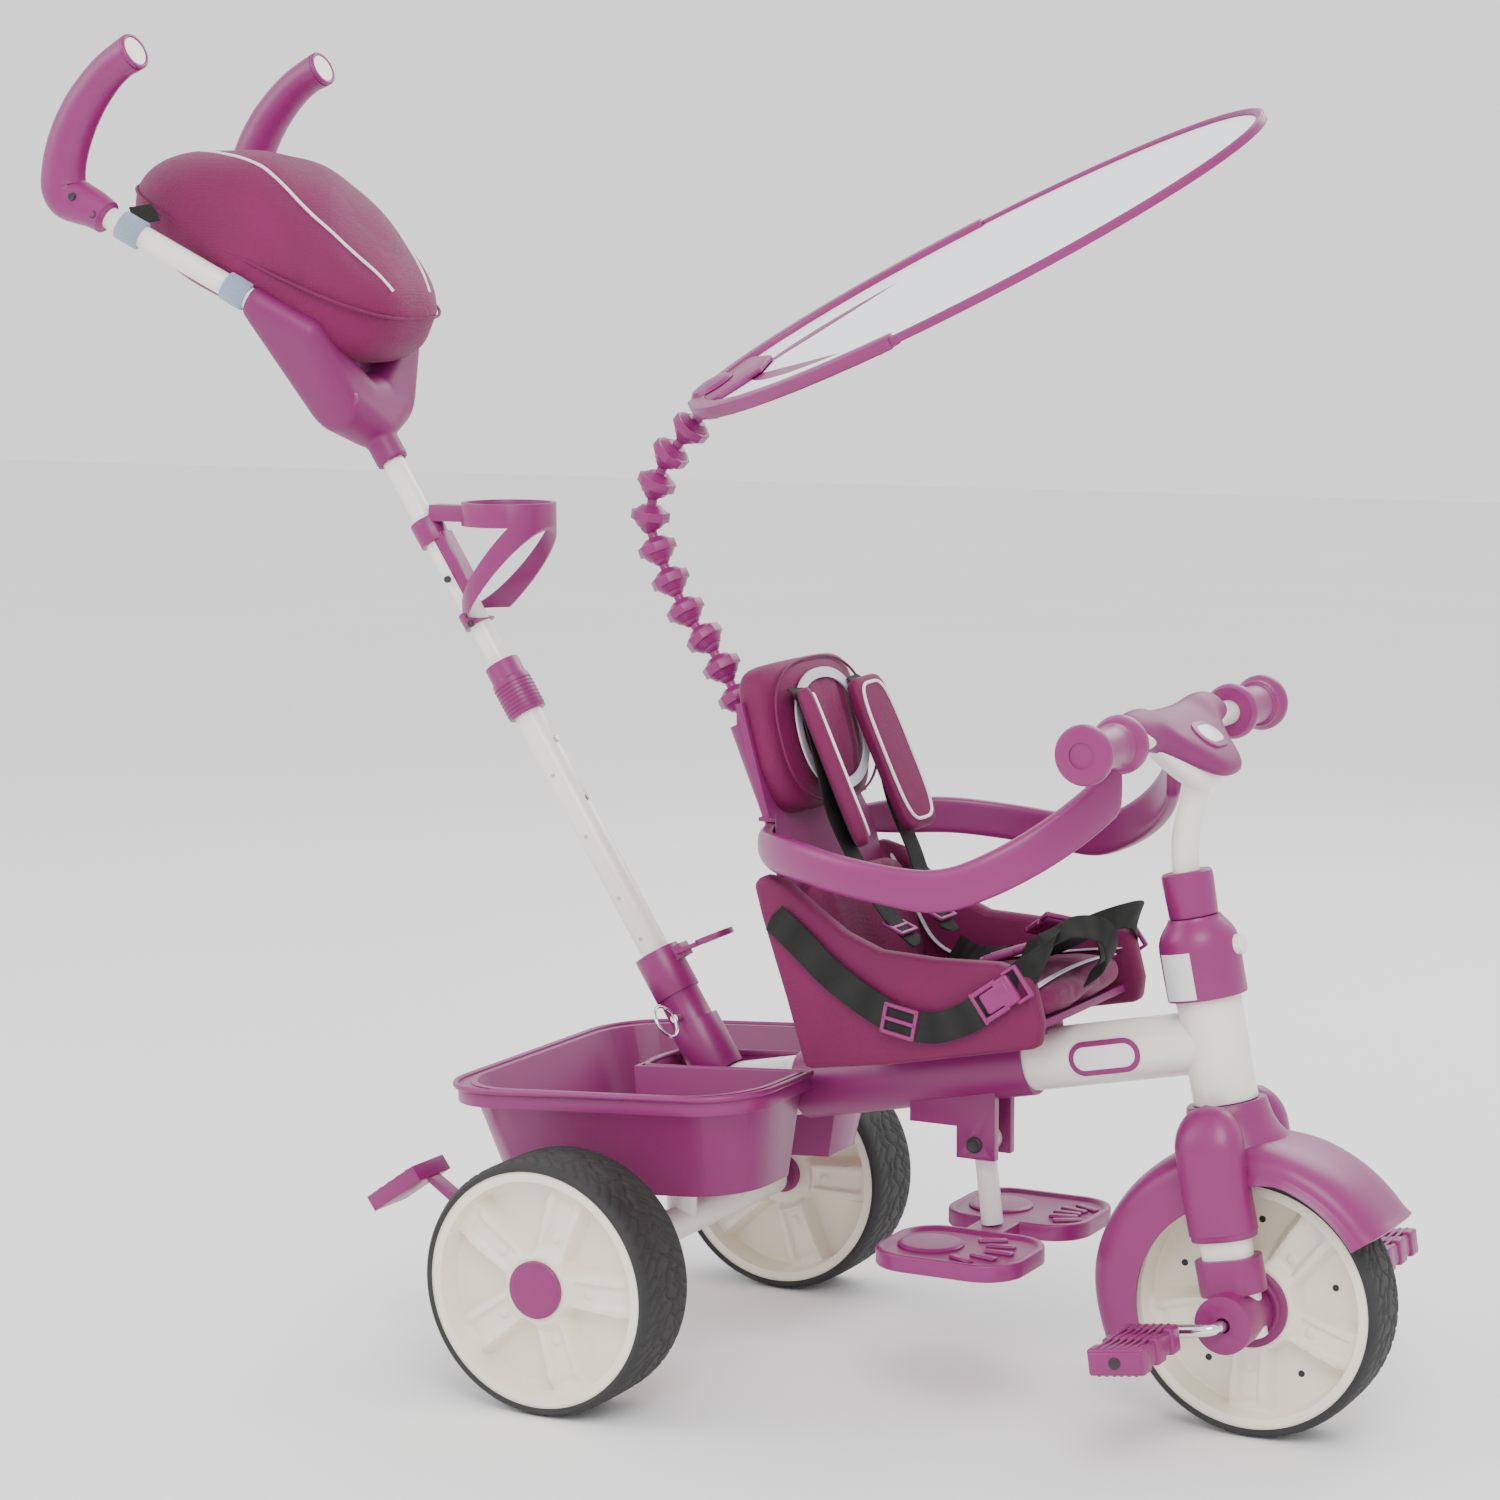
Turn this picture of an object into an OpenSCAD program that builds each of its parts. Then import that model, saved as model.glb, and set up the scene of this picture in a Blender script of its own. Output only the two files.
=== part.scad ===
// Children's tricycle with a parent push pole, sun canopy, padded seat and rear basket.
// Axes: +X forward, +Y to the rider's left, +Z up; the ground is Z = 0, under the middle.

/* [Wheels] */
// Radius of a rear wheel over its tyre
rear_r = 104.5; // [95:0.5:112]
// Width of a rear wheel
rear_w = 72; // [60:1:76]
// Distance between the middles of the rear wheels
rear_track = 420; // [410:1:460]
// Radius of the front wheel over its tyre
front_r = 106; // [98:0.5:112]
// Width of the front wheel
front_w = 60; // [50:1:62]
// Distance from the rear axle to the front axle
wheel_base = 523; // [500:1:560]
// Thickness of a tyre's tread band
tyre_t = 8; // [5:0.5:10]
// Diameter of the rear axle
axle_d = 10; // [8:0.5:12]
// Diameter of the bent crank rod
crank_d = 12; // [9:0.5:13]
// Crank throw
crank_throw = 46; // [40:1:52]
// Pedal length along its spindle
pedal_l = 82; // [70:1:90]

/* [Frame] */
// Outside diameter of the main tube
main_d = 50; // [46:1:52]
// Wall of the main tube
main_wall = 1.8; // [1.2:0.1:3]
// Rise of the main tube, and the backward tilt of the steering axis, in degrees
frame_tilt = 11.4; // [8:0.2:14]
// Outside diameter of the head tube
head_d = 52; // [48:1:54]
// Diameter of the steering stem
stem_d = 22; // [20:0.5:24]
// Height of the handlebar's middle above the ground
bar_z = 557; // [530:1:590]
// Distance over the ends of the handle grips
bar_w = 394; // [360:1:430]
// Length of a handle grip
grip_l = 84; // [70:1:92]

/* [Push pole] */
// Lean of the push pole from the vertical, in degrees
pole_lean = 32.4; // [28:0.2:36]
// Outside diameter of the lower pole
pole_d = 25.4; // [24:0.1:27]
// Outside diameter of the upper tube that slides inside it
upper_d = 19.6; // [18:0.1:20.4]
// Length of the lower pole, from its foot to the mouth of its collar
pole_l = 420; // [380:1:450]
// Inside diameter of the bottle ring
cup_d = 74; // [66:1:80]

/* [Seat and basket] */
// Width of the seat cushion
seat_w = 228; // [200:1:240]
// Lean of the seat back from the vertical, in degrees
seat_lean = 15.5; // [12:0.5:18]
// Radius of the safety ring, to the middle of its band
ring_r = 165; // [158:1:172]
// Length of the basket's rim
basket_l = 292; // [270:1:300]
// Width of the basket's rim
basket_w = 320; // [300:1:330]
// Wall of the basket
basket_wall = 3.5; // [2.5:0.5:4]

/* [Canopy] */
// Length of the canopy from its ball joint to its tip
canopy_l = 535; // [480:1:560]
// Width of the canopy
canopy_w = 290; // [250:1:310]
// Distance from one ball of the flexible neck to the next
bead_pitch = 28.8; // [27.5:0.1:30]

/* [Hidden] */
$fn = 48;

purple = "mediumvioletred";
cream = "ivory";
run = 0.05;      // running clearance between a shaft and its hole, on the radius
gap = 0.3;       // clearance between pieces that only lie next to each other

// --- datum places -------------------------------------------------------------
rear_x = -36.5;
front_x = rear_x + wheel_base;
axle_r = axle_d / 2;
main_r = main_d / 2;
head_r = head_d / 2;
stem_r = stem_d / 2;
crank_r = crank_d / 2;
pole_r = pole_d / 2;
upper_r = upper_d / 2;
pole_bore = pole_r - 2;

// The main tube's axis meets the steering axis at head_s above the front axle.
head_s = 208;
joint_x = front_x - head_s * sin(frame_tilt);
joint_z = front_r + head_s * cos(frame_tilt);
tube_rear = rear_x - 9;
tube_l = (joint_x - tube_rear) / cos(frame_tilt);

// Places are given along the main tube (from its front joint, backwards), along the
// steering axis (up from the front axle), along the pole and up the seat back.
module at_tube(u = 0) {
    translate([joint_x, 0, joint_z]) rotate([0, -frame_tilt, 0]) translate([-u, 0, 0]) children();
}
module at_head(s = 0) {
    translate([front_x, 0, front_r]) rotate([0, -frame_tilt, 0]) translate([0, 0, s]) children();
}
function tube_z(x) = joint_z - (joint_x - x) * tan(frame_tilt);
function head_pt(s, f = 0) = [front_x - s * sin(frame_tilt) + f * cos(frame_tilt), 0,
                              front_r + s * cos(frame_tilt) + f * sin(frame_tilt)];

pole_x = rear_x + 48;
pole_z = tube_z(pole_x);
module at_pole(p = 0) {
    translate([pole_x, 0, pole_z]) rotate([0, -pole_lean, 0]) translate([0, 0, p]) children();
}
function pole_pt(p, f = 0, y = 0) = [pole_x - p * sin(pole_lean) + f * cos(pole_lean), y,
                                     pole_z + p * cos(pole_lean) + f * sin(pole_lean)];

seat_x = rear_x + 185;
seat_z = tube_z(seat_x) + 38;
module at_seat(z = 0) {
    translate([seat_x, 0, seat_z]) rotate([0, -seat_lean, 0]) translate([0, 0, z]) children();
}
function seat_pt(z, f = 0, y = 0) = [seat_x - z * sin(seat_lean) + f * cos(seat_lean), y,
                                     seat_z + z * cos(seat_lean) + f * sin(seat_lean)];

// --- shared shapes --------------------------------------------------------------
module rod(a, b, r) {
    v = b - a;
    translate(a) rotate([0, acos(v[2] / norm(v)), atan2(v[1], v[0])]) cylinder(r = r, h = norm(v));
}
// A bent pipe of straight lengths that run on into each other at the bends.
module pipe(pts, r) {
    n = len(pts) - 1;
    for (i = [0 : n - 1]) {
        a = pts[i];
        b = pts[i + 1];
        u = (b - a) / norm(b - a) * r * 0.25;
        rod(i == 0 ? a : a - u, i == n - 1 ? b : b + u, r);
    }
}
module y_rod(x, z, y0, y1, r) {
    translate([x, y0, z]) rotate([-90, 0, 0]) cylinder(r = r, h = y1 - y0);
}
module slot_2d(l, w) {
    square([w, l - w], center = true);
    for (s = [-1, 1]) translate([0, s * (l - w) / 2]) circle(d = w);
}
module round_rect(l, w, r) {
    square([l - 2 * r, w], center = true);
    square([l, w - 2 * r], center = true);
    for (i = [-1, 1], j = [-1, 1]) translate([i * (l / 2 - r), j * (w / 2 - r)]) circle(r = r);
}
module mirrored() {
    children();
    mirror([0, 1, 0]) children();
}
// A closed skin over a list of rings that all have as many points.
module skin(rings) {
    n = len(rings[0]);
    m = len(rings);
    polyhedron(points = [for (r = rings) each r],
        faces = concat(
            [for (i = [0 : m - 2], j = [0 : n - 1]) [i * n + j, i * n + (j + 1) % n, (i + 1) * n + j]],
            [for (i = [0 : m - 2], j = [0 : n - 1])
                [i * n + (j + 1) % n, (i + 1) * n + (j + 1) % n, (i + 1) * n + j]],
            [for (j = [1 : n - 2]) [0, j + 1, j]],
            [for (j = [1 : n - 2]) [(m - 1) * n, (m - 1) * n + j, (m - 1) * n + j + 1]]));
}
// Ring of an ellipse with its centre c and its half axes given as vectors.
function oval(c, a, b, n = 16) = [for (i = [0 : n - 1]) c + a * cos(360 * i / n) + b * sin(360 * i / n)];

// --- welded frame -----------------------------------------------------------------
module main_tube() {
    color(cream) difference() {
        at_tube(tube_l) rotate([0, 90, 0]) cylinder(r = main_r, h = tube_l);
        at_tube(tube_l + 1) rotate([0, 90, 0]) cylinder(r = main_r - main_wall, h = tube_l + 2);
        at_head(0) cylinder(r = head_r, h = 400);
    }
}
head_low = 160;
head_top = 244;
bush_r = head_r - 3;
module head_tube() {
    color(cream) at_head(head_low) difference() {
        cylinder(r = head_r, h = head_top - head_low);
        translate([0, 0, -1]) cylinder(r = bush_r, h = head_top - head_low + 2);
    }
}
bush_l = 16;
module steering_bushes() {
    color("dimgray") for (s = [head_low, head_top - bush_l]) at_head(s) difference() {
        cylinder(r = bush_r, h = bush_l);
        translate([0, 0, -1]) cylinder(r = stem_r + run, h = bush_l + 2);
    }
}
cover_r = 31.5;
cover_top = 308;
button_s = 282;
button_r = 8;
module head_cover() {
    color(purple) difference() {
        at_head(head_top) rotate_extrude() difference() {
            polygon([[0, 0], [cover_r, 0], [cover_r + 0.5, 42], [cover_r - 3, 54], [cover_r - 10, 62],
                     [0, cover_top - head_top]]);
            polygon([[0, 3], [cover_r - 3, 3], [cover_r - 3, 40], [cover_r - 12, 56], [0, 56]]);
        }
        at_head(head_top - 1) cylinder(r = stem_r + 0.6, h = cover_top - head_top + 2);
        at_head(button_s) rotate([0, 90, 0]) cylinder(r = button_r + run, h = cover_r + 5);
    }
}
module lock_button() {
    color(cream) at_head(button_s) translate([cover_r - 8, 0, 0]) rotate([0, 90, 0])
        cylinder(r = button_r, h = 14);
}

// --- rear of the frame --------------------------------------------------------------
axle_tube_r = 14;
axle_tube_w = 2 * (rear_track / 2 - rear_w / 2 - 4);
strut_r = 13;
brake_y = 130;
brake_x = rear_x - 30;
brake_z = rear_r + 26;
brake_pin_r = 4;
brake_gap = 9;
module rear_frame() {
    color(cream) difference() {
        union() {
            y_rod(rear_x, rear_r, -axle_tube_w / 2, axle_tube_w / 2, axle_tube_r);
            rod([rear_x, 0, rear_r], [rear_x, 0, tube_z(rear_x)], strut_r);
            mirrored() for (y = [brake_y - brake_gap - 4, brake_y + brake_gap])
                translate([brake_x - 8, y, rear_r - 8]) cube([rear_x - brake_x + 8, 4, 42]);
        }
        y_rod(rear_x, rear_r, -axle_tube_w, axle_tube_w, axle_r + run);
        at_tube(tube_l + 40) rotate([0, 90, 0]) cylinder(r = main_r, h = tube_l);
        mirrored() y_rod(brake_x, brake_z, brake_y - 30, brake_y + 30, brake_pin_r + run);
    }
}
axle_end = rear_track / 2 + rear_w / 2 - 12;
module rear_axle() {
    color("silver") y_rod(rear_x, rear_r, -axle_end, axle_end, axle_r);
}

// --- basket -------------------------------------------------------------------------
basket_x = rear_x - 150 + basket_l / 2;
basket_h = 88;
basket_tilt = 3.9;
rim_z = rear_r + 141.5;
notch_w = 74;
notch_x = -20;
module basket_plan(l, w, r) {
    difference() {
        round_rect(l, w, r);
        translate([notch_x - (basket_x - rear_x), -notch_w / 2]) square([basket_l, notch_w]);
    }
}
module basket_shape(z0, l0, w0, l1, w1) {
    translate([0, 0, z0]) linear_extrude(height = -z0 + 1, scale = [l1 / l0, w1 / w0], slices = 1, $fn = 32)
        round_rect(l0, w0, 52);
}
module basket() {
    b = basket_wall;
    color(purple) difference() {
        union() {
            translate([basket_x, 0, rim_z]) rotate([0, -basket_tilt, 0]) {
                basket_shape(-basket_h, basket_l - 52, basket_w - 66, basket_l - 12, basket_w - 12);
                translate([0, 0, -14]) linear_extrude(height = 14, $fn = 40)
                    round_rect(basket_l, basket_w, 56);
            }
            for (s = [-1, 1]) translate([rear_x - 13, s * 88 - 10, rear_r + axle_tube_r + gap])
                cube([26, 20, 30]);
        }
        translate([basket_x, 0, rim_z]) rotate([0, -basket_tilt, 0]) {
            difference() {
                translate([0, 0, -basket_h + b]) linear_extrude(height = basket_h + 1,
                    scale = [(basket_l - 12) / (basket_l - 52), (basket_w - 12) / (basket_w - 66)],
                    slices = 1, $fn = 32) round_rect(basket_l - 52 - 2 * b, basket_w - 66 - 2 * b, 50);
                translate([rear_x + notch_x - basket_x - b, -notch_w / 2 - b, -basket_h])
                    cube([basket_l, notch_w + 2 * b, basket_h * 2]);
            }
            translate([rear_x + notch_x - basket_x, -notch_w / 2, -basket_h * 2])
                cube([basket_l, notch_w, basket_h * 3]);
        }
    }
}

// --- sleeve and footrest bracket on the main tube --------------------------------------
sleeve_r = main_r + 3.5;
sleeve_u0 = (joint_x - (rear_x + 327)) / cos(frame_tilt);
sleeve_u1 = (joint_x - (rear_x + 120)) / cos(frame_tilt);
module tube_sleeve() {
    color(purple) difference() {
        at_tube(sleeve_u1) rotate([0, 90, 0]) cylinder(r = sleeve_r, h = sleeve_u1 - sleeve_u0);
        at_tube(sleeve_u1 + 1) rotate([0, 90, 0]) cylinder(r = main_r, h = 300);
    }
}
foot_x = rear_x + 283;
foot_z = tube_z(foot_x) - sleeve_r - 34;
foot_pin_r = 5;
post_r = 9;
ear_gap = 12;
module footrest_bracket() {
    color(purple) difference() {
        union() {
            translate([foot_x - 58, -20, foot_z + 14]) cube([44, 40, 42]);
            for (s = [-1, 1]) translate([foot_x - 16, s * (ear_gap + 4) - 4, foot_z - 12])
                cube([34, 8, 66]);
        }
        at_tube(sleeve_u1 + 1) rotate([0, 90, 0]) cylinder(r = sleeve_r, h = 300);
        y_rod(foot_x, foot_z, -40, 40, foot_pin_r + run);
    }
}
foot_drop = 84;
pad_z = foot_z - foot_drop;
pad_t = 14;
module footrest_post() {
    color(cream) {
        y_rod(foot_x, foot_z, -ear_gap - 8, ear_gap + 8, foot_pin_r);
        difference() {
            union() {
                y_rod(foot_x, foot_z, -ear_gap + 0.5, ear_gap - 0.5, 11);
                rod([foot_x, 0, foot_z], [foot_x + 8, 0, pad_z + pad_t + 1.1], post_r);
            }
            y_rod(foot_x, foot_z, -40, 40, foot_pin_r);
        }
    }
}
pad_l = 126;
pad_w = 104;
pad_y = 70;
module footrest_pads() {
    color(purple) translate([foot_x + 8, 0, pad_z]) {
        mirrored() translate([3, -pad_y, 0]) difference() {
            linear_extrude(height = pad_t) round_rect(pad_l, pad_w, 34);
            translate([0, 0, pad_t - 3]) linear_extrude(height = 4) round_rect(pad_l - 12, pad_w - 12, 28);
        }
        translate([-16, -20, 0]) cube([32, 40, pad_t]);
    }
}

// --- seat ---------------------------------------------------------------------------------
shell_t = 6;
shell_w = 180;
shell_h = 290;
pan_l = 187;
function pan_pt(x, z) = [seat_x + x * cos(frame_tilt) - z * sin(frame_tilt),
                         seat_z + x * sin(frame_tilt) + z * cos(frame_tilt)];
function back_pt(z, f) = let (p = seat_pt(z, f)) [p[0], p[2]];
module seat_shell() {
    color(purple) difference() {
        rotate([90, 0, 0]) {
            linear_extrude(height = shell_w, center = true) polygon([back_pt(shell_h, -8), back_pt(0, -8),
                pan_pt(-2, -2), pan_pt(pan_l, -2), pan_pt(pan_l, 4), pan_pt(4, 4), back_pt(8, -2),
                back_pt(shell_h, -2)]);
            linear_extrude(height = 36, center = true) for (x = [20, 130])
                polygon([pan_pt(x, -22), pan_pt(x + 30, -22), pan_pt(x + 30, -1), pan_pt(x, -1)]);
        }
        at_tube(sleeve_u1 + 1) rotate([0, 90, 0]) cylinder(r = sleeve_r, h = 300);
        translate([ring_x, 0, ring_rear_z - 18]) difference() {
            cylinder(r = 260, h = 42);
            translate([0, 0, -1]) cylinder(r = ring_r - ring_t / 2 - 1.5, h = 44);
        }
    }
}
pan_top = shell_t - 2 + gap;
module seat_cushion() {
    color(purple) {
        difference() {
            translate([seat_x, 0, seat_z]) rotate([0, -frame_tilt, 0]) {
                translate([6, -seat_w / 2, pan_top]) cube([192, seat_w, 30]);
                for (s = [-1, 1]) translate([0, s * (seat_w / 2 - 9) - 9, -14]) rotate([90, 0, 0])
                    mirror([0, 0, 1]) linear_extrude(height = 18)
                        polygon([[-4, 0], [198, 0], [198, 50], [150, 62], [70, 80], [20, 120], [-18, 152],
                                 [-30, 150]]);
            }
            at_seat(-30) translate([-60, -seat_w, 0]) cube([60 - 2 + gap, 2 * seat_w, 260]);
        }
        at_seat(36) translate([-2 + gap, -seat_w / 2 + 18, 0]) cube([20, seat_w - 36, 100]);
    }
}
back_w = 176;
cushion_foot = 191;
module back_cushion() {
    color(purple) difference() {
        at_seat(cushion_foot) translate([-20, 0, 0]) rotate([90, 0, 90]) linear_extrude(height = 46)
            translate([0, 64]) union() {
                translate([-back_w / 2, -64]) square([back_w, 64 + 6]);
                intersection() {
                    scale([1, 0.72]) circle(r = back_w / 2);
                    translate([-back_w, 0]) square([2 * back_w, back_w]);
                }
            }
        at_seat() translate([-8 - gap, -shell_w / 2 - gap, 100])
            cube([shell_t + 2 * gap, shell_w + 2 * gap, shell_h - 100 + gap]);
    }
}
pad_front = 26 + gap;
module shoulder_pads() {
    color(purple) mirrored() at_seat(196) translate([pad_front, 34, 0])
        cube([14, 42, 92]);
}
belt_z = pan_top + 30 + gap;
module harness() {
    color("black") {
        mirrored() at_seat(48) translate([18 + gap, 38, 0]) cube([2, 26, 86]);
        translate([seat_x, 0, seat_z]) rotate([0, -frame_tilt, 0]) {
            for (s = [-1, 1]) translate([34, s * 55 - 30, belt_z]) cube([30, 60, 3]);
            translate([70, -13, belt_z]) cube([128, 26, 3]);
        }
    }
    color(purple) translate([seat_x, 0, seat_z]) rotate([0, -frame_tilt, 0])
        translate([32, -24, belt_z]) cube([34, 48, 13]);
}

// --- flexible neck of the canopy ---------------------------------------------------------------
bead_ball_r = 8;
bead_neck_r = 4.2;
bead_tilt = [-30, -32, -42, -31, -27, -22, 8, 24, 42, 41];
neck_base = seat_pt(289.5, -51.5);
function bead_pt(i) = i == 0 ? neck_base
    : bead_pt(i - 1) + bead_pitch * [sin(bead_tilt[i - 1]), 0, cos(bead_tilt[i - 1])];
module bead(i) {
    translate(bead_pt(i)) rotate([0, bead_tilt[i], 0]) {
        difference() {
            union() {
                rotate_extrude() polygon([[0, -2], [9.6, -2], [14, 4], [14, 12], [8, 17], [0, 17]]);
                translate([0, 0, 4]) rotate([0, 0, 22.5]) cylinder(r = 16.5, h = 8, $fn = 8);
                cylinder(r = bead_neck_r, h = bead_pitch);
            }
            sphere(r = bead_ball_r + run);
            rotate_extrude() polygon([[0, -3], [9, -3], [7.6, -1], [0, 0]]);
        }
        translate([0, 0, bead_pitch]) sphere(r = bead_ball_r);
    }
}
module beads(k) {
    color(purple) for (i = [2 * k - 2, 2 * k - 1]) bead(i);
}
module neck_beads_1() { beads(1); }
module neck_beads_2() { beads(2); }
module neck_beads_3() { beads(3); }
module neck_beads_4() { beads(4); }
module neck_beads_5() { beads(5); }
module neck_post() {
    low = seat_pt(150, -8);
    mid = seat_pt(165, -42);
    color(purple) {
        difference() {
            pipe([seat_pt(150, 0), mid, neck_base - 12 * [0, 0, 1] * 1.3], 10);
            at_seat() translate([-8, -100, 0]) cube([60, 200, 300]);
        }
        translate(neck_base - [0, 0, 17]) cylinder(r = bead_neck_r, h = 17);
        translate(neck_base) sphere(r = bead_ball_r);
    }
}

// --- canopy ------------------------------------------------------------------------------------
canopy_rise = 24;
canopy_roll = 21;
canopy_ball = bead_pt(10);
module at_canopy() {
    translate(canopy_ball) rotate([0, -canopy_rise, 0]) rotate([canopy_roll, 0, 0]) children();
}
function leaf(t, d) = [canopy_l / 2 - (canopy_l / 2 - d) * cos(t), (canopy_w / 2 - d) * sin(t)];
module leaf_2d(d) { polygon([for (t = [0 : 6 : 354]) leaf(t, d)]); }
sheet_z = 9;
module canopy_sheet() {
    color("whitesmoke") at_canopy() translate([0, 0, sheet_z]) linear_extrude(height = 1.6) difference() {
        leaf_2d(6);
        translate([-20, -60]) square([70, 120]);
    }
}
socket_tilt = 52;
module canopy_frame() {
    color(purple) difference() {
        union() {
            at_canopy() {
                translate([0, 0, sheet_z - 2]) linear_extrude(height = 6) difference() {
                    leaf_2d(0);
                    leaf_2d(6);
                    translate([-20, -60]) square([70, 120]);
                }
                translate([0, 0, sheet_z - 6]) linear_extrude(height = 6 - gap / 2) {
                    polygon([[-4, -15], [-4, 15], [30, 46], [70, 20], [70, -20], [30, -46]]);
                    mirrored_2d() polygon([[40, 0], [56, 46], [225, 137], [240, 128], [225, 122], [66, 12]]);
                }
                translate([-4, -15, sheet_z - 1]) cube([53, 30, 6]);
            }
            translate(canopy_ball) rotate([0, socket_tilt, 0]) rotate_extrude()
                polygon([[0, -2], [9.6, -2], [13, 4], [13, 10], [0, 10]]);
        }
        translate(canopy_ball) {
            sphere(r = bead_ball_r + run);
            rotate([0, socket_tilt, 0]) rotate_extrude() polygon([[0, 0], [7.6, -1], [9, -3], [20, -30],
                [0, -30]]);
        }
        at_canopy() mirrored() linear_extrude(height = sheet_z + 30) leaf_cut();
    }
}
module mirrored_2d() {
    children();
    mirror([0, 1]) children();
}
module leaf_cut() {
    difference() {
        translate([100, 0]) square([200, 200]);
        leaf_2d(0);
    }
}

// --- safety ring ---------------------------------------------------------------------------------
ring_x = rear_x + 267;
ring_rear_z = rear_r + 347;
ring_t = 13;
hub_y = 26;
hub_x = ring_x - ring_r;
ring_pin_r = 5;
function ring_rise(a) = a > 120 ? 0 : a > 75 ? -14 * (120 - a) / 45 : -14 + 70 * pow((75 - a) / 49, 1.3);
function ring_h(a) = a > 155 ? 21 : a > 131 ? 21 + 9 * (155 - a) / 24 : a > 90 ? 30 : 30 + 12 * (90 - a) / 64;
ring_angles = [172 : -6 : 28];
function ring_edge(a, side) = [ring_r * cos(a), ring_rise(a) + side * ring_h(a) / 2];
module ring_arm() {
    color(purple) difference() {
        union() {
            translate([ring_x, 0, ring_rear_z]) intersection() {
                rotate([0, 0, 32]) rotate_extrude(angle = 136, $fn = 120)
                    translate([ring_r - ring_t / 2, -90]) square([ring_t, 180]);
                rotate([90, 0, 0]) mirror([0, 0, 1]) linear_extrude(height = 220)
                    polygon(concat([for (a = ring_angles) ring_edge(a, 1)],
                                   [for (i = [24 : -1 : 0]) ring_edge(172 - 6 * i, -1)]));
            }
            translate([hub_x + 4, hub_y, ring_rear_z - 11]) cylinder(r = 11, h = 22);
        }
        translate([hub_x + 4, hub_y, ring_rear_z - 40]) cylinder(r = ring_pin_r + run, h = 80);
    }
}
module ring_arm_left() { ring_arm(); }
module ring_arm_right() { mirror([0, 1, 0]) ring_arm(); }
module ring_hub() {
    z = ring_rear_z;
    color(purple) difference() {
        union() {
            for (y = [-hub_y, hub_y]) translate([hub_x + 4, y, z - 14.7]) cylinder(r = ring_pin_r, h = 29.4);
            for (dz = [-14.7, 11 + gap]) translate([hub_x - 8, -hub_y - 12, z + dz])
                cube([60, 2 * hub_y + 24, 3.4]);
            for (y = [-24, 12]) translate([hub_x + 17, y, z - 14.7]) cube([40, 12, 29.4]);
        }
        at_seat(-60) translate([-8, -200, 0]) cube([200, 400, 600]);
        translate(seat_pt(150, -20)) translate([-40, -12, -30]) cube([80, 24, 90]);
    }
}

// --- push pole ---------------------------------------------------------------------------------------
socket_top = 135;
pin_p = 76;
pin_r = 3.5;
button_p = 338;
button_pin_r = 3;
pole_foot = main_r + 8;
collar_l = 50;
module pole_socket() {
    color(purple) difference() {
        union() {
            at_pole(20) cylinder(r = 22, h = 47);
            at_pole(67) cylinder(r = 18, h = 28);
            at_pole(95) cylinder(r = 20, h = socket_top - 95);
            at_pole(socket_top - 16) translate([16, -7, 0]) cube([12, 14, 12]);
        }
        at_tube(tube_l + 1) rotate([0, 90, 0]) cylinder(r = main_r, h = 300);
        at_pole(pole_foot) cylinder(r = pole_r, h = 300);
        at_pole(pin_p) rotate([90, 0, 0]) cylinder(r = pin_r + run, h = 60, center = true);
        translate(pole_pt(socket_top - 10, 24)) rotate([90, 0, 0]) cylinder(r = 2 + run, h = 60, center = true);
    }
}
module socket_cap() {
    c = pole_pt(socket_top - 10, 24);
    color(purple) translate(c) {
        rotate([90, 0, 0]) cylinder(r = 2, h = 21, center = true);
        rotate([0, -24, 0]) {
            for (s = [-1, 1]) translate([0, s * 9 - 1.2, -1.8]) cube([20, 2.4, 3.6]);
            translate([15, -10.2, -1.8]) cube([8, 20.4, 3.6]);
            translate([34, 0, -2]) cylinder(r = 17, h = 5);
        }
    }
}
module pull_pin() {
    color("silver") {
        at_pole(pin_p) rotate([90, 0, 0]) translate([0, 0, -24]) cylinder(r = pin_r, h = 50);
        at_pole(pin_p) translate([0, -39.5, 0]) rotate([0, 90, 0]) rotate_extrude() translate([14, 0])
            circle(r = 1.4, $fn = 16);
    }
}
module lower_pole() {
    color(cream) difference() {
        at_pole(pole_foot) cylinder(r = pole_r, h = pole_l - collar_l + 20 - pole_foot);
        at_pole(pole_foot - 1) cylinder(r = pole_bore, h = pole_l);
        at_pole(pin_p) rotate([90, 0, 0]) cylinder(r = pin_r + run, h = 60, center = true);
        for (p = [button_p - 58, button_p, button_p + 56]) at_pole(p) rotate([0, 90, 0])
            cylinder(r = button_pin_r + run, h = 30);
    }
}
module pole_collar() {
    p1 = pole_l - collar_l + 20;
    color(purple) difference() {
        union() {
            at_pole(pole_l - collar_l) cylinder(r = 17, h = 34);
            at_pole(pole_l - 16) cylinder(r = 15.5, h = 16);
        }
        at_pole(pole_l - collar_l - 1) cylinder(r = pole_r, h = p1 - pole_l + collar_l + 1);
        at_pole(pole_l - 60) cylinder(r = upper_r + run, h = 80);
    }
}
module pole_button() {
    color("silver") at_pole(button_p) translate([upper_r - 3, 0, 0]) rotate([0, 90, 0])
        cylinder(r = button_pin_r, h = pole_r + 2 - upper_r + 3);
}
upper_foot = button_p - 68;
neck_p = 624;
slot_r = button_pin_r + 0.4;
module upper_tube() {
    color(cream) difference() {
        at_pole(upper_foot) cylinder(r = upper_r, h = neck_p + 30 - upper_foot);
        at_pole(upper_foot - 1) cylinder(r = upper_r - 1.5, h = neck_p + 40);
        at_pole(button_p - 60) translate([0, -slot_r, 0]) cube([40, 2 * slot_r, 120]);
    }
}

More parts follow.
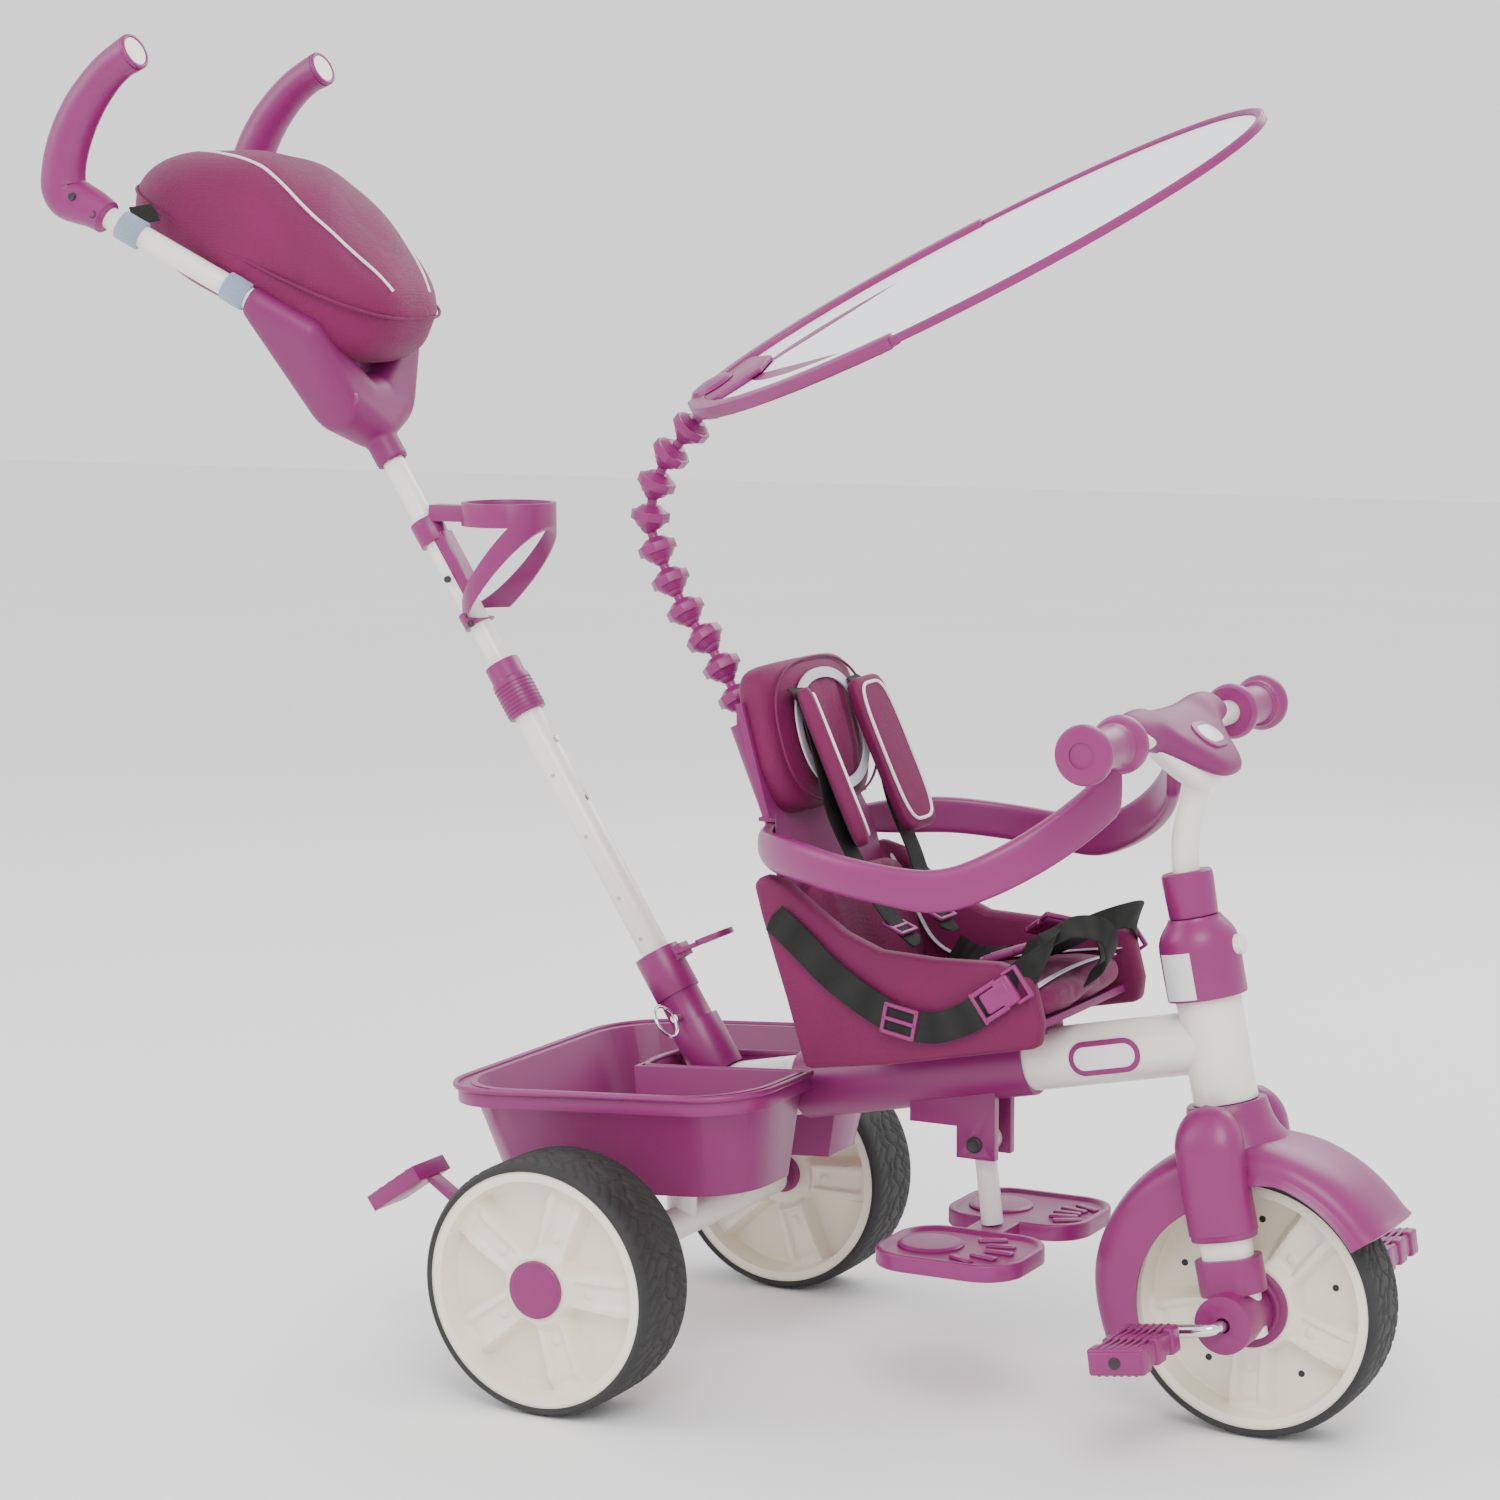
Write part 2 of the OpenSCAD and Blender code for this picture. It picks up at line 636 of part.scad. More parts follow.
// --- bottle holder --------------------------------------------------------------------------------------
cup_x = rear_x - 168;
cup_z = rear_r + 592;
cup_h = 20;
cup_t = 4;
cup_r = cup_d / 2;
clamp_p = [545, 462];
module cup_holder() {
    color(purple) difference() {
        union() {
            translate([cup_x, 0, cup_z]) cylinder(r = cup_r + cup_t, h = cup_h);
            at_pole(clamp_p[0] - 4) cylinder(r = 14, h = 22);
            at_pole(clamp_p[1] - 3) cylinder(r = 14, h = 14);
            translate([pole_pt(clamp_p[0])[0], -9, cup_z + 2]) cube([cup_x - pole_pt(clamp_p[0])[0], 18, 14]);
            at_pole(clamp_p[1]) translate([4, -9, 0]) cube([10, 18, clamp_p[0] - clamp_p[1]]);
            intersection() {
                translate([cup_x, 0, cup_z - 74]) cylinder(r = cup_r + cup_t, h = 74 + cup_h);
                translate([cup_x + cup_r, -60, cup_z + cup_h]) rotate([0, -50, 0])
                    translate([-160, 0, -16]) cube([175, 120, 16]);
            }
            at_pole(clamp_p[1] - 3) translate([6, -6, 0]) cube([34, 12, 4]);
            at_pole(clamp_p[1] - 3) translate([36, -6, 0]) cube([4, 12, 12]);
        }
        translate([cup_x, 0, cup_z - 1]) cylinder(r = cup_r, h = 61);
        translate([cup_x, 0, cup_z - 80]) cylinder(r = cup_r + 1.5, h = 80);
        at_pole(440) cylinder(r = upper_r, h = 200);
    }
}

// --- push handle -----------------------------------------------------------------------------------------
arm_in = [rear_x - 322, -76, rear_r + 757];
arm_low = [rear_x - 350, -104, rear_r + 774];
arm_end = [rear_x - 500, -132, rear_r + 861];
arm_r = 10;
module yoke() {
    color(purple) difference() {
        union() {
            at_pole(neck_p) cylinder(r = 14, h = 28);
            hull() {
                at_pole(neck_p + 24) cylinder(r = 17, h = 4, $fn = 32);
                at_pole(neck_p + 60) translate([2, 0, 0]) rotate([90, 0, 0])
                    cylinder(r = 24, h = 70, center = true, $fn = 32);
            }
            mirrored() hull() {
                at_pole(neck_p + 60) translate([2, -20, 0]) rotate([90, 0, 0])
                    cylinder(r = 24, h = 20, $fn = 32);
                translate(arm_low) rotate([90, 0, 59]) sphere(r = 14.5, $fn = 24);
            }
        }
        at_pole(neck_p - 1) cylinder(r = upper_r, h = 31);
        mirrored() rod(arm_in, arm_end, arm_r);
    }
}
module yoke_tubes() {
    color(cream) mirrored() rod(arm_in, arm_end, arm_r);
}
grip_pts = [[-488, 854], [-512, 868], [-534, 884], [-543, 906], [-534, 932], [-512, 958], [-478, 982],
            [-438, 997]];
module push_grips() {
    n = len(grip_pts);
    color(purple) mirrored() difference() {
        skin([for (i = [0 : n - 1])
            let (a = grip_pts[max(i - 1, 0)], b = grip_pts[min(i + 1, n - 1)], d = b - a,
                 k = norm(d), r = [17, 20, 21, 20, 18.5, 17, 16, 15][i],
                 c = [rear_x + grip_pts[i][0], -132 - i, rear_r + grip_pts[i][1]])
            oval(c, r * [-d[1] / k, 0, d[0] / k], [0, r * 0.9, 0], 16)]);
        rod(arm_in, arm_end, arm_r);
    }
}
bag_c = [rear_x - 392, 0, rear_r + 829.8];
module bag() {
    color(purple) translate(bag_c) rotate([0, 24, 0])
        skin([for (t = [-80 : 16 : 80]) oval([150 * sin(t), 0, 0], [0, 96 * cos(t), 0], [0, 0, 60 * cos(t)], 20)]);
}

// --- fork and mudguard ----------------------------------------------------------------------------------------
leg_y = 51;
leg_w = 41;
leg_t = 26;
crown_s = 142;
crown_t = 9;
leg_low = 34;
module leg_2d(grow = 0) {
    rotate([0, 0, 90]) slot_2d(leg_w + 2 * grow, leg_t + 2 * grow);
}
module crown_2d(grow = 0) { slot_2d(2 * leg_y + leg_t + 2 * grow, leg_w + 2 * grow); }
module fork() {
    color(cream) {
        mirrored() at_head(leg_low) translate([0, -leg_y, 0]) linear_extrude(height = crown_s - leg_low)
            leg_2d();
        at_head(crown_s) linear_extrude(height = crown_t) crown_2d();
        at_head(crown_s + crown_t) cylinder(r = stem_r, h = stem_top - crown_s - crown_t);
        difference() {
            stem_bend();
            y_rod(bar_x, bar_z, -100, 100, bar_r);
        }
    }
}
// The stem swings forward under the console and back to the handlebar.
stem_top = 352;
bar_x = rear_x + 446;
bar_s = (front_x - bar_x) * sin(frame_tilt) + (bar_z - front_r) * cos(frame_tilt);
bar_f = (bar_x - front_x) * cos(frame_tilt) + (bar_z - front_r) * sin(frame_tilt);
module stem_bend() {
    a = head_pt(stem_top);
    b = head_pt(stem_top + 44, 20);
    translate(a) sphere(r = stem_r + 0.5);
    translate(b) sphere(r = stem_r + 0.5);
    rod(a, b, stem_r);
    rod(b, head_pt(bar_s - 4, bar_f), stem_r);
}
guard_r = front_r + 27;
guard_in = front_r + 4;
guard_w = 98;
module fender() {
    t = 4;
    color(purple) difference() {
        union() {
            translate([front_x, 0, front_r]) rotate([90, 0, 0]) difference() {
                rotate([0, 0, 32]) rotate_extrude(angle = 165) polygon([
                    [88, -guard_w / 2], [guard_r - 16, -guard_w / 2], [guard_r, -guard_w / 2 + 18],
                    [guard_r, guard_w / 2 - 18], [guard_r - 16, guard_w / 2], [88, guard_w / 2],
                    [88, guard_w / 2 - t], [guard_r - 18, guard_w / 2 - t], [guard_r - t, guard_w / 2 - 20],
                    [guard_r - t, -guard_w / 2 + 20], [guard_r - 18, -guard_w / 2 + t], [88, -guard_w / 2 + t]]);
            }
            at_head(crown_s - 14) linear_extrude(height = 26) slot_2d(2 * leg_y + leg_t + 8, leg_w + 9);
            at_head(crown_s + 11) cylinder(r1 = 36, r2 = 31, h = 6.5);
            mirrored() at_head(62) translate([0, -leg_y, 0]) linear_extrude(height = 80) leg_2d(4.5);
        }
        translate([front_x, 0, front_r]) rotate([90, 0, 0]) cylinder(r = guard_in, h = 2 * 33.5, center = true);
        mirrored() at_head(20) translate([0, -leg_y, 0]) linear_extrude(height = 140) leg_2d(gap);
        at_head(crown_s - gap) linear_extrude(height = crown_t + 2 * gap) crown_2d(gap);
        at_head(crown_s - 50) cylinder(r = stem_r + gap, h = 100);
        mirrored() translate([front_x, -leg_y + 17, front_r]) rotate([-90, 0, 0]) cylinder(r = guard_in, h = 10);
    }
}
boss_r = 23;
housing_y = 86;
module axle_housings() {
    color(purple) mirrored() difference() {
        union() {
            at_head(18) translate([0, -leg_y, 0]) linear_extrude(height = 28) leg_2d(6.5);
            y_rod(front_x, front_r, -housing_y, -36, boss_r);
        }
        at_head(leg_low) translate([0, -leg_y, 0]) linear_extrude(height = 40) leg_2d();
        y_rod(front_x, front_r, -100, 100, crank_r + run);
        y_rod(front_x, front_r, -34, 34, 60);
    }
}
module stem_collar() {
    color(purple) at_head(cover_top + gap) difference() {
        union() {
            cylinder(r = 19, h = 30);
            translate([0, 0, 26]) cylinder(r = 20.5, h = 10);
        }
        translate([0, 0, -1]) cylinder(r = stem_r, h = 60);
    }
}

// --- handlebar ---------------------------------------------------------------------------------------------------
bar_r = 10;
grip_in = bar_w / 2 - grip_l;
grip_t = 5.5;
module handlebar() {
    color(cream) y_rod(bar_x, bar_z, -bar_w / 2 + 8, bar_w / 2 - 8, bar_r);
}
module handle_grips() {
    color(purple) mirrored() difference() {
        translate([bar_x, -bar_w / 2, bar_z]) rotate([-90, 0, 0]) rotate_extrude() polygon([[0, 0],
            [20, 0], [25, 5], [25, 10], [bar_r + grip_t + 2, 14], [bar_r + grip_t, 30],
            [bar_r + grip_t + 2, grip_l - 16], [24, grip_l - 10], [24, grip_l - 4], [18, grip_l], [0, grip_l]]);
        y_rod(bar_x, bar_z, -bar_w / 2 + 8, 0, bar_r);
    }
}
console_tilt = 22;
module console_base() {
    color(cream) difference() {
        hull() {
            translate([bar_x, 0, bar_z + 2]) rotate([90, 0, 0]) cylinder(r = 16, h = 130, center = true, $fn = 24);
            translate([bar_x + 26, 0, bar_z - 28]) rotate([90, 0, 0])
                cylinder(r = 14, h = 60, center = true, $fn = 24);
        }
        y_rod(bar_x, bar_z, -80, 80, bar_r);
        stem_bend();
        console_block(0);
    }
}
module console_block(grow) {
    hull() {
        translate([bar_x - 6, 0, bar_z + 26]) rotate([90, 0, 0])
            cylinder(r = 12 + grow, h = 116 + 2 * grow, center = true, $fn = 24);
        translate([bar_x + 40, 0, bar_z - 22]) rotate([90, 0, 0])
            cylinder(r = 9 + grow, h = 50 + 2 * grow, center = true, $fn = 24);
    }
}
module console_cover() {
    color(purple) difference() {
        console_block(0);
        stem_bend();
        y_rod(bar_x, bar_z, -80, 80, bar_r);
    }
}

// --- wheels -----------------------------------------------------------------------------------------------------------
module wheel_place(x, y, z) {
    translate([x, y, z]) rotate([y > 0 ? -90 : 90, 0, 0]) children();
}
module tyre_ring(r, w) {
    color("dimgray") rotate_extrude($fn = 96) polygon([[r - tyre_t, -w / 2], [r - 4, -w / 2], [r, -w / 2 + 6],
        [r, w / 2 - 6], [r - 4, w / 2], [r - tyre_t, w / 2]]);
}
module rim_disc(r, w, bore, hub) {
    color(cream) difference() {
        union() {
            rotate_extrude($fn = 96) difference() {
                polygon([[0, -w / 2 + 6], [hub, -w / 2 + 6], [hub, -4], [r - 5, -4], [r - 5, -w / 2],
                         [r, -w / 2], [r, w / 2], [r - 5, w / 2], [r - 5, 4], [hub, 4],
                         [hub, w / 2 - 14], [0, w / 2 - 14]]);
            }
            for (i = [0 : 4]) rotate([0, 0, 72 * i + 18]) translate([hub - 3, -15, 3])
                cube([r - hub, 30, w / 2 - 15]);
        }
        cylinder(r = bore, h = w + 2, center = true);
    }
}
module rear_tyre() { wheel_place(rear_x, rear_track / 2, rear_r) tyre_ring(rear_r, rear_w); }
module rear_rim() {
    wheel_place(rear_x, rear_track / 2, rear_r) {
        rim_disc(rear_r - tyre_t, rear_w, axle_r + run, 24);
        color(purple) translate([0, 0, rear_w / 2 - 14]) difference() {
            cylinder(r = 27, h = 11);
            translate([0, 0, -1]) cylinder(r = axle_r + 2, h = 8);
        }
    }
}
module rear_tyre_left() { rear_tyre(); }
module rear_tyre_right() { mirror([0, 1, 0]) rear_tyre(); }
module rear_rim_left() { rear_rim(); }
module rear_rim_right() { mirror([0, 1, 0]) rear_rim(); }
module front_tyre() {
    color("dimgray") translate([front_x, 0, front_r]) rotate([90, 0, 0]) tyre_ring(front_r, front_w);
}
module front_rim() {
    r = front_r - tyre_t;
    w = front_w;
    translate([front_x, 0, front_r]) rotate([90, 0, 0]) {
        color(cream) difference() {
            union() {
                rotate_extrude($fn = 96) polygon([[0, -26], [24, -26], [24, -4], [r - 5, -4], [r - 5, -w / 2],
                    [r, -w / 2], [r, w / 2], [r - 5, w / 2], [r - 5, 4], [24, 4], [24, 26], [0, 26]]);
                for (m = [0, 1], i = [0 : 4]) mirror([0, 0, m]) rotate([0, 0, 72 * i + 18])
                    translate([21, -14, 3]) cube([r - 24, 28, 16]);
            }
            cylinder(r = crank_r, h = w + 2, center = true);
        }
        color(purple) for (m = [0, 1]) mirror([0, 0, m]) translate([0, 0, 26]) difference() {
            cylinder(r = 32, h = 7);
            translate([0, 0, -1]) cylinder(r = crank_r, h = 12);
        }
    }
}
crank_out = 100;
pedal_y = 113;
pedal_dz = 7;
throw_x = sqrt(crank_throw * crank_throw - pedal_dz * pedal_dz);
spindle_r = 5;
module crank() {
    color("silver") {
        y_rod(front_x, front_r, -crank_out - crank_r, crank_out + crank_r, crank_r);
        for (s = [-1, 1]) {
            b = [front_x + s * throw_x, s * (crank_out - crank_r), front_r + s * pedal_dz];
            rod([front_x, s * crank_out, front_r], [b[0], s * crank_out, b[2]], crank_r - 0.2);
            rod(b, b + [0, s * (pedal_l + 10), 0], spindle_r);
        }
    }
}
module pedal() {
    x = front_x + throw_x;
    z = front_r + pedal_dz;
    color(purple) difference() {
        translate([x, pedal_y + pedal_l / 2, z]) rotate([0, -8, 0]) {
            translate([-22, -pedal_l / 2, -9]) cube([44, pedal_l, 18]);
            for (y = [-28 : 14 : 28]) translate([-23, y - 4, -11]) cube([46, 8, 22]);
        }
        y_rod(x, z, pedal_y - 20, crank_out - crank_r + pedal_l + 10.6, spindle_r + run);
    }
}
module pedal_left() { pedal(); }
module pedal_right() {
    translate([front_x, 0, front_r]) rotate([0, 180, 0]) mirror([0, 1, 0])
        translate([-front_x, 0, -front_r]) pedal();
}

// --- parking brakes ------------------------------------------------------------------------------------------------------
module brake_lever() {
    y = brake_y;
    w = 2 * brake_gap - 1;
    color(purple) {
        y_rod(brake_x, brake_z, y - w / 2, y + w / 2, 9);
        y_rod(brake_x, brake_z, y - brake_gap - 4, y + brake_gap + 4, brake_pin_r);
        translate([rear_x, y, rear_r]) rotate([90, 0, 0]) linear_extrude(height = w - 2, center = true)
            polygon([[-30, 30], [-140, 33], [-176, 55], [-169, 45], [-139, 25], [-30, 22]]);
        translate([rear_x - 190, y, rear_r + 42]) rotate([0, -35, 0]) translate([-32, -24, -7])
            cube([56, 48, 14]);
    }
}
module brake_lever_left() { brake_lever(); }
module brake_lever_right() { mirror([0, 1, 0]) brake_lever(); }

main_tube();
head_tube();
steering_bushes();
head_cover();
rear_frame();
rear_axle();
basket();
tube_sleeve();
footrest_bracket();
seat_shell();
seat_cushion();
back_cushion();
shoulder_pads();
harness();
neck_post();
ring_hub();
pole_socket();
lower_pole();
pole_collar();
lock_button();
fork();
fender();
axle_housings();
stem_collar();
handlebar();
handle_grips();
console_base();
console_cover();
front_tyre();
front_rim();
crank();
pedal_left();
pedal_right();
rear_tyre_left();
rear_rim_left();
rear_tyre_right();
rear_rim_right();
brake_lever_left();
brake_lever_right();
footrest_post();
footrest_pads();
ring_arm_left();
ring_arm_right();
socket_cap();
pull_pin();
upper_tube();
cup_holder();
yoke();
yoke_tubes();
push_grips();
bag();
pole_button();
neck_beads_1();
neck_beads_2();
neck_beads_3();
neck_beads_4();
neck_beads_5();
canopy_frame();
canopy_sheet();
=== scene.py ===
"""Detailed pieces, finishes, floor and light for a children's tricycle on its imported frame."""

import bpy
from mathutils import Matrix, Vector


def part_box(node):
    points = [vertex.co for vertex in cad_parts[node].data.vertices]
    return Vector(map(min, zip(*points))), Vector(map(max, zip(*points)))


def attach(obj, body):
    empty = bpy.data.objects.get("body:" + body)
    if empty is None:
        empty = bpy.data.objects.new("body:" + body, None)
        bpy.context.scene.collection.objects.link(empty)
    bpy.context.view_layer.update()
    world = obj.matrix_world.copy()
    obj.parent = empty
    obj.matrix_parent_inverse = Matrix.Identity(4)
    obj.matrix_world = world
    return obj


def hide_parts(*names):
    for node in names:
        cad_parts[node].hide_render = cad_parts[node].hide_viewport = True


bl_info = {
    "name": "Children's tricycle",
    "version": (1, 0, 0),
    "blender": (4, 5, 0),
    "location": "View3D > Sidebar > Tricycle",
    "description": "Models a push-along tricycle with canopy, bag, padded seat and basket",
    "category": "Add Mesh",
}
from math import cos, exp, hypot, pi, radians, sin

import bpy
from bpy.props import FloatProperty, FloatVectorProperty, IntProperty
from mathutils import Matrix, Vector

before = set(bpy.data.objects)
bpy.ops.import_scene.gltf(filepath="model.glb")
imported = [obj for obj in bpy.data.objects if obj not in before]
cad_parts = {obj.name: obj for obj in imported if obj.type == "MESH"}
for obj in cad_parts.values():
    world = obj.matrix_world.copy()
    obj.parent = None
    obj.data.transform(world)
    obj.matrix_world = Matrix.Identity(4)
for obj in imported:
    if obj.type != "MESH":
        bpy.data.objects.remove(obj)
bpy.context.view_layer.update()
MM = 0.001
SIDES = (("left", 1), ("right", -1))

# Frames of the main assemblies, in metres, as the joints and tubes have them.
REAR = Vector((-0.0365, 0, 0.1045))
FRONT = Vector((0.4865, 0, 0.106))
TILT = radians(11.4)
JOINT = Vector((FRONT.x - 0.208 * sin(TILT), 0, FRONT.z + 0.208 * cos(TILT)))


def tube_height(x):
    return JOINT.z - (JOINT.x - x) * sin(TILT) / cos(TILT)


def leaning(x, z, degrees):
    return Matrix.Translation((x, 0, z)) @ Matrix.Rotation(radians(-degrees), 4, "Y")


HEAD = leaning(FRONT.x, FRONT.z, 11.4)
POLE = leaning(REAR.x + 0.048, tube_height(REAR.x + 0.048), 32.4)
SEAT = leaning(REAR.x + 0.185, tube_height(REAR.x + 0.185) + 0.038, 15.5)
PAN = leaning(REAR.x + 0.185, tube_height(REAR.x + 0.185) + 0.038, 11.4)
TUBE = leaning(JOINT.x, JOINT.z, 11.4)
BALL_TILTS = (-30, -32, -42, -31, -27, -22, 8, 24, 42, 41)
RING_FRAME = Matrix.Translation((REAR.x + 0.267, 0, REAR.z + 0.347))
BAR_FRAME = Matrix.Translation((REAR.x + 0.446, 0, 0.557))


def at(where, x, y, z):
    """A place given in millimetres in one of the frames."""
    return where @ Vector((x * MM, y * MM, z * MM))


def shifted(where, x, y, z, *turns):
    """A frame moved by millimetres along its own axes, then turned by pairs of degrees and an axis."""
    where = where @ Matrix.Translation(Vector((x, y, z)) * MM)
    for degrees, axis in turns:
        where = where @ Matrix.Rotation(radians(degrees), 4, axis)
    return where


def signed_power(value, power):
    return (abs(value) ** power) * (1 if value >= 0 else -1)


def oval(half_x, half_y, power_x=1.0, power_y=1.0, count=40):
    """Points round an oval, which grows squarer as its powers fall below one."""
    turns = [2 * pi * number / count for number in range(count)]
    return [(half_x * signed_power(cos(turn), power_x), half_y * signed_power(sin(turn), power_y))
            for turn in turns]


def neck_top():
    """The centre of the last ball of the neck."""
    place = at(SEAT, -51.5, 0, 289.5)
    for tilt in BALL_TILTS:
        place = place + 28.8 * MM * Vector((sin(radians(tilt)), 0, cos(radians(tilt))))
    return place


CANOPY = shifted(Matrix.Translation(neck_top()), 0, 0, 0, (-24, "Y"), (21, "X"))
REAR_FRAME = Matrix.Translation(REAR)
FRONT_FRAME = Matrix.Translation(FRONT)
BAG = shifted(Matrix.Translation((REAR.x - 0.392, 0, REAR.z + 0.8298)), 0, 0, 0, (24, "Y"))


def yoke_arm(side):
    """The ends of one upper arm of the push handle, and its direction as a turn."""
    foot, tip = at(REAR_FRAME, -322, side * 76, 757), at(REAR_FRAME, -500, side * 132, 861)
    return foot, tip, (tip - foot).to_track_quat("Z", "Y").to_matrix()


# --- finishes ---
class Field:
    """A shader socket that can be used in Python expressions."""

    def __init__(self, paint, socket):
        self.paint = paint
        self.socket = socket

    def maths(self, operation, first, second):
        return self.paint.make("ShaderNodeMath", {"operation": operation}, {0: first, 1: second})

    def __add__(self, other):
        return self.maths("ADD", self, other)

    def __radd__(self, other):
        return self.maths("ADD", other, self)

    def __sub__(self, other):
        return self.maths("SUBTRACT", self, other)

    def __rsub__(self, other):
        return self.maths("SUBTRACT", other, self)

    def __mul__(self, other):
        return self.maths("MULTIPLY", self, other)

    def __rmul__(self, other):
        return self.maths("MULTIPLY", other, self)

    def __gt__(self, other):
        return self.maths("GREATER_THAN", self, other)


class Paint:
    """One procedural material and the nodes that feed its shader."""

    def __init__(self, name, **constants):
        self.material = bpy.data.materials.new(name)
        self.material.use_nodes = True
        self.tree = self.material.node_tree
        self.shader = self.tree.nodes["Principled BSDF"]
        for socket, value in constants.items():
            self.shader.inputs[socket.replace("_", " ")].default_value = value
        self.place = self.make("ShaderNodeTexCoord", out="Object")
        self.pattern = self.make("ShaderNodeTexCoord", out="UV")

    def make(self, kind, settings=None, inputs=None, out=0):
        node = self.tree.nodes.new(kind)
        for key, value in (settings or {}).items():
            if key == "stops":
                for stop, (position, colour) in zip(node.color_ramp.elements, value):
                    stop.position = position
                    stop.color = colour
            else:
                setattr(node, key, value)
        for key, value in (inputs or {}).items():
            if isinstance(value, Field):
                self.tree.links.new(value.socket, node.inputs[key])
            else:
                node.inputs[key].default_value = value
        return Field(self, node.outputs[out])

    def noise(self, scale, detail=3.0, stretch=(1, 1, 1), where=None):
        spread = self.make("ShaderNodeMapping", None, {"Vector": where or self.place, "Scale": stretch})
        return self.make("ShaderNodeTexNoise", None, {"Vector": spread, "Scale": scale, "Detail": detail})

    def bands(self, scale, axis, where=None):
        return self.make("ShaderNodeTexWave", {"bands_direction": axis, "wave_profile": "SIN"},
                         {"Vector": where or self.place, "Scale": scale, "Distortion": 0.15}, "Fac")

    def shade(self, fac, low, high):
        return self.make("ShaderNodeMix", {"data_type": "RGBA"},
                         {0: fac, 6: (*low, 1), 7: (*high, 1)}, 2)

    def blend(self, fac, low, high):
        return self.make("ShaderNodeMix", {"data_type": "RGBA"}, {0: fac, 6: low, 7: high}, 2)

    def feed(self, socket, field):
        self.tree.links.new(field.socket, self.shader.inputs[socket])

    def relief(self, height, strength, distance):
        self.feed("Normal", self.make("ShaderNodeBump", None,
                                      {"Height": height, "Strength": strength, "Distance": distance}))


def tint(colour, factor):
    return tuple(min(1.0, channel * factor) for channel in colour)


def moulded(name, colour, rough, coat=0.0):
    """Injection-moulded plastic: a slightly uneven satin skin with fine spark texture and rub marks."""
    paint = Paint(name, Coat_Weight=coat, Coat_Roughness=0.25, Specular_IOR_Level=0.45)
    cloud = paint.noise(11.0, 2.0)
    rub = paint.noise(60.0, 4.0, (1, 1, 5))
    paint.feed("Base Color", paint.shade(cloud, tint(colour, 0.92), tint(colour, 1.07)))
    paint.feed("Roughness", rough - 0.05 + 0.06 * cloud + 0.06 * rub)
    paint.relief(paint.noise(1500.0, 2.0), 0.07, 0.0003)
    return paint.material


def enamel(name, colour):
    """Powder paint on steel: glossy with a faint orange peel and a slightly lighter or darker tone in places.
    """
    paint = Paint(name, Coat_Weight=0.4, Coat_Roughness=0.12)
    cloud = paint.noise(7.0, 2.0)
    paint.feed("Base Color", paint.shade(cloud, tint(colour, 0.955), tint(colour, 1.03)))
    paint.feed("Roughness", 0.24 + 0.1 * paint.noise(38.0, 3.0))
    paint.relief(paint.noise(260.0, 2.0), 0.10, 0.0004)
    return paint.material


def plating(name, colour, rough):
    """Plated steel with fine drawn lines and small dull patches."""
    paint = Paint(name, Metallic=1.0)
    dull = paint.noise(45.0, 4.0)
    paint.feed("Base Color", paint.shade(dull, tint(colour, 0.86), colour))
    paint.feed("Roughness", rough + 0.12 * dull)
    paint.relief(paint.noise(900.0, 2.0, (1, 0.1, 1)), 0.08, 0.0002)
    return paint.material


def tread_rubber(name):
    """Moulded tyre foam: near black, dusty on the tread, with a pebbled skin."""
    paint = Paint(name, Specular_IOR_Level=0.35)
    dust = paint.noise(24.0, 5.0)
    paint.feed("Base Color", paint.shade(dust, (0.017, 0.017, 0.018), (0.042, 0.041, 0.040)))
    paint.feed("Roughness", 0.56 + 0.22 * dust)
    paint.relief(paint.noise(700.0, 4.0), 0.35, 0.0006)
    return paint.material


def woven(name, colour, thread=260.0, fold=0.35, sheen=0.05):
    """Plain nylon cloth: crossing threads, soft creases with painted shade in their hollows and painted light
    on their crowns, and a slight sheen.
    """
    paint = Paint(name, Sheen_Weight=sheen, Sheen_Roughness=0.45, Specular_IOR_Level=0.3)
    weave = paint.bands(thread, "X") * paint.bands(thread, "Z") + 0.5 * paint.bands(thread, "Y")
    crease = paint.noise(26.0, 4.0, (1, 1, 0.6))
    # The crease noise that bumps the cloth also sets its colour: darker in the crease hollows and lighter on
    # the crowns, as painted shade and painted light.
    paint.feed("Base Color", paint.blend(0.10 + 0.25 * weave, paint.shade(crease, tint(colour, 0.80),
                                                                         tint(colour, 1.18)),
                                         paint.shade(crease, tint(colour, 0.68), tint(colour, 1.0))))
    paint.feed("Roughness", 0.50 + 0.18 * crease)
    paint.relief(crease + 0.10 * weave, fold, 0.004)
    return paint.material


def webbing(name, colour):
    """Narrow woven strap: ribs across its length and broad lighter and darker bands along it."""
    paint = Paint(name, Specular_IOR_Level=0.25)
    ribs = paint.bands(30.0, "X", paint.pattern)
    cords = paint.bands(2.2, "Y", paint.pattern)
    paint.feed("Base Color", paint.shade(0.6 * ribs + 0.4 * cords, tint(colour, 0.6), tint(colour, 1.7)))
    paint.feed("Roughness", 0.66 + 0.16 * paint.noise(90.0, 3.0))
    paint.relief(ribs + cords, 0.35, 0.0006)
    return paint.material


def fleece(name, colour):
    """Hook-and-loop tape: a matt, fuzzy loop side."""
    paint = Paint(name, Sheen_Weight=0.5, Sheen_Roughness=0.6)
    fuzz = paint.noise(900.0, 5.0)
    paint.feed("Base Color", paint.shade(fuzz, tint(colour, 0.62), tint(colour, 1.35)))
    paint.feed("Roughness", 0.82 + 0.1 * fuzz)
    paint.relief(fuzz, 0.6, 0.0012)
    return paint.material


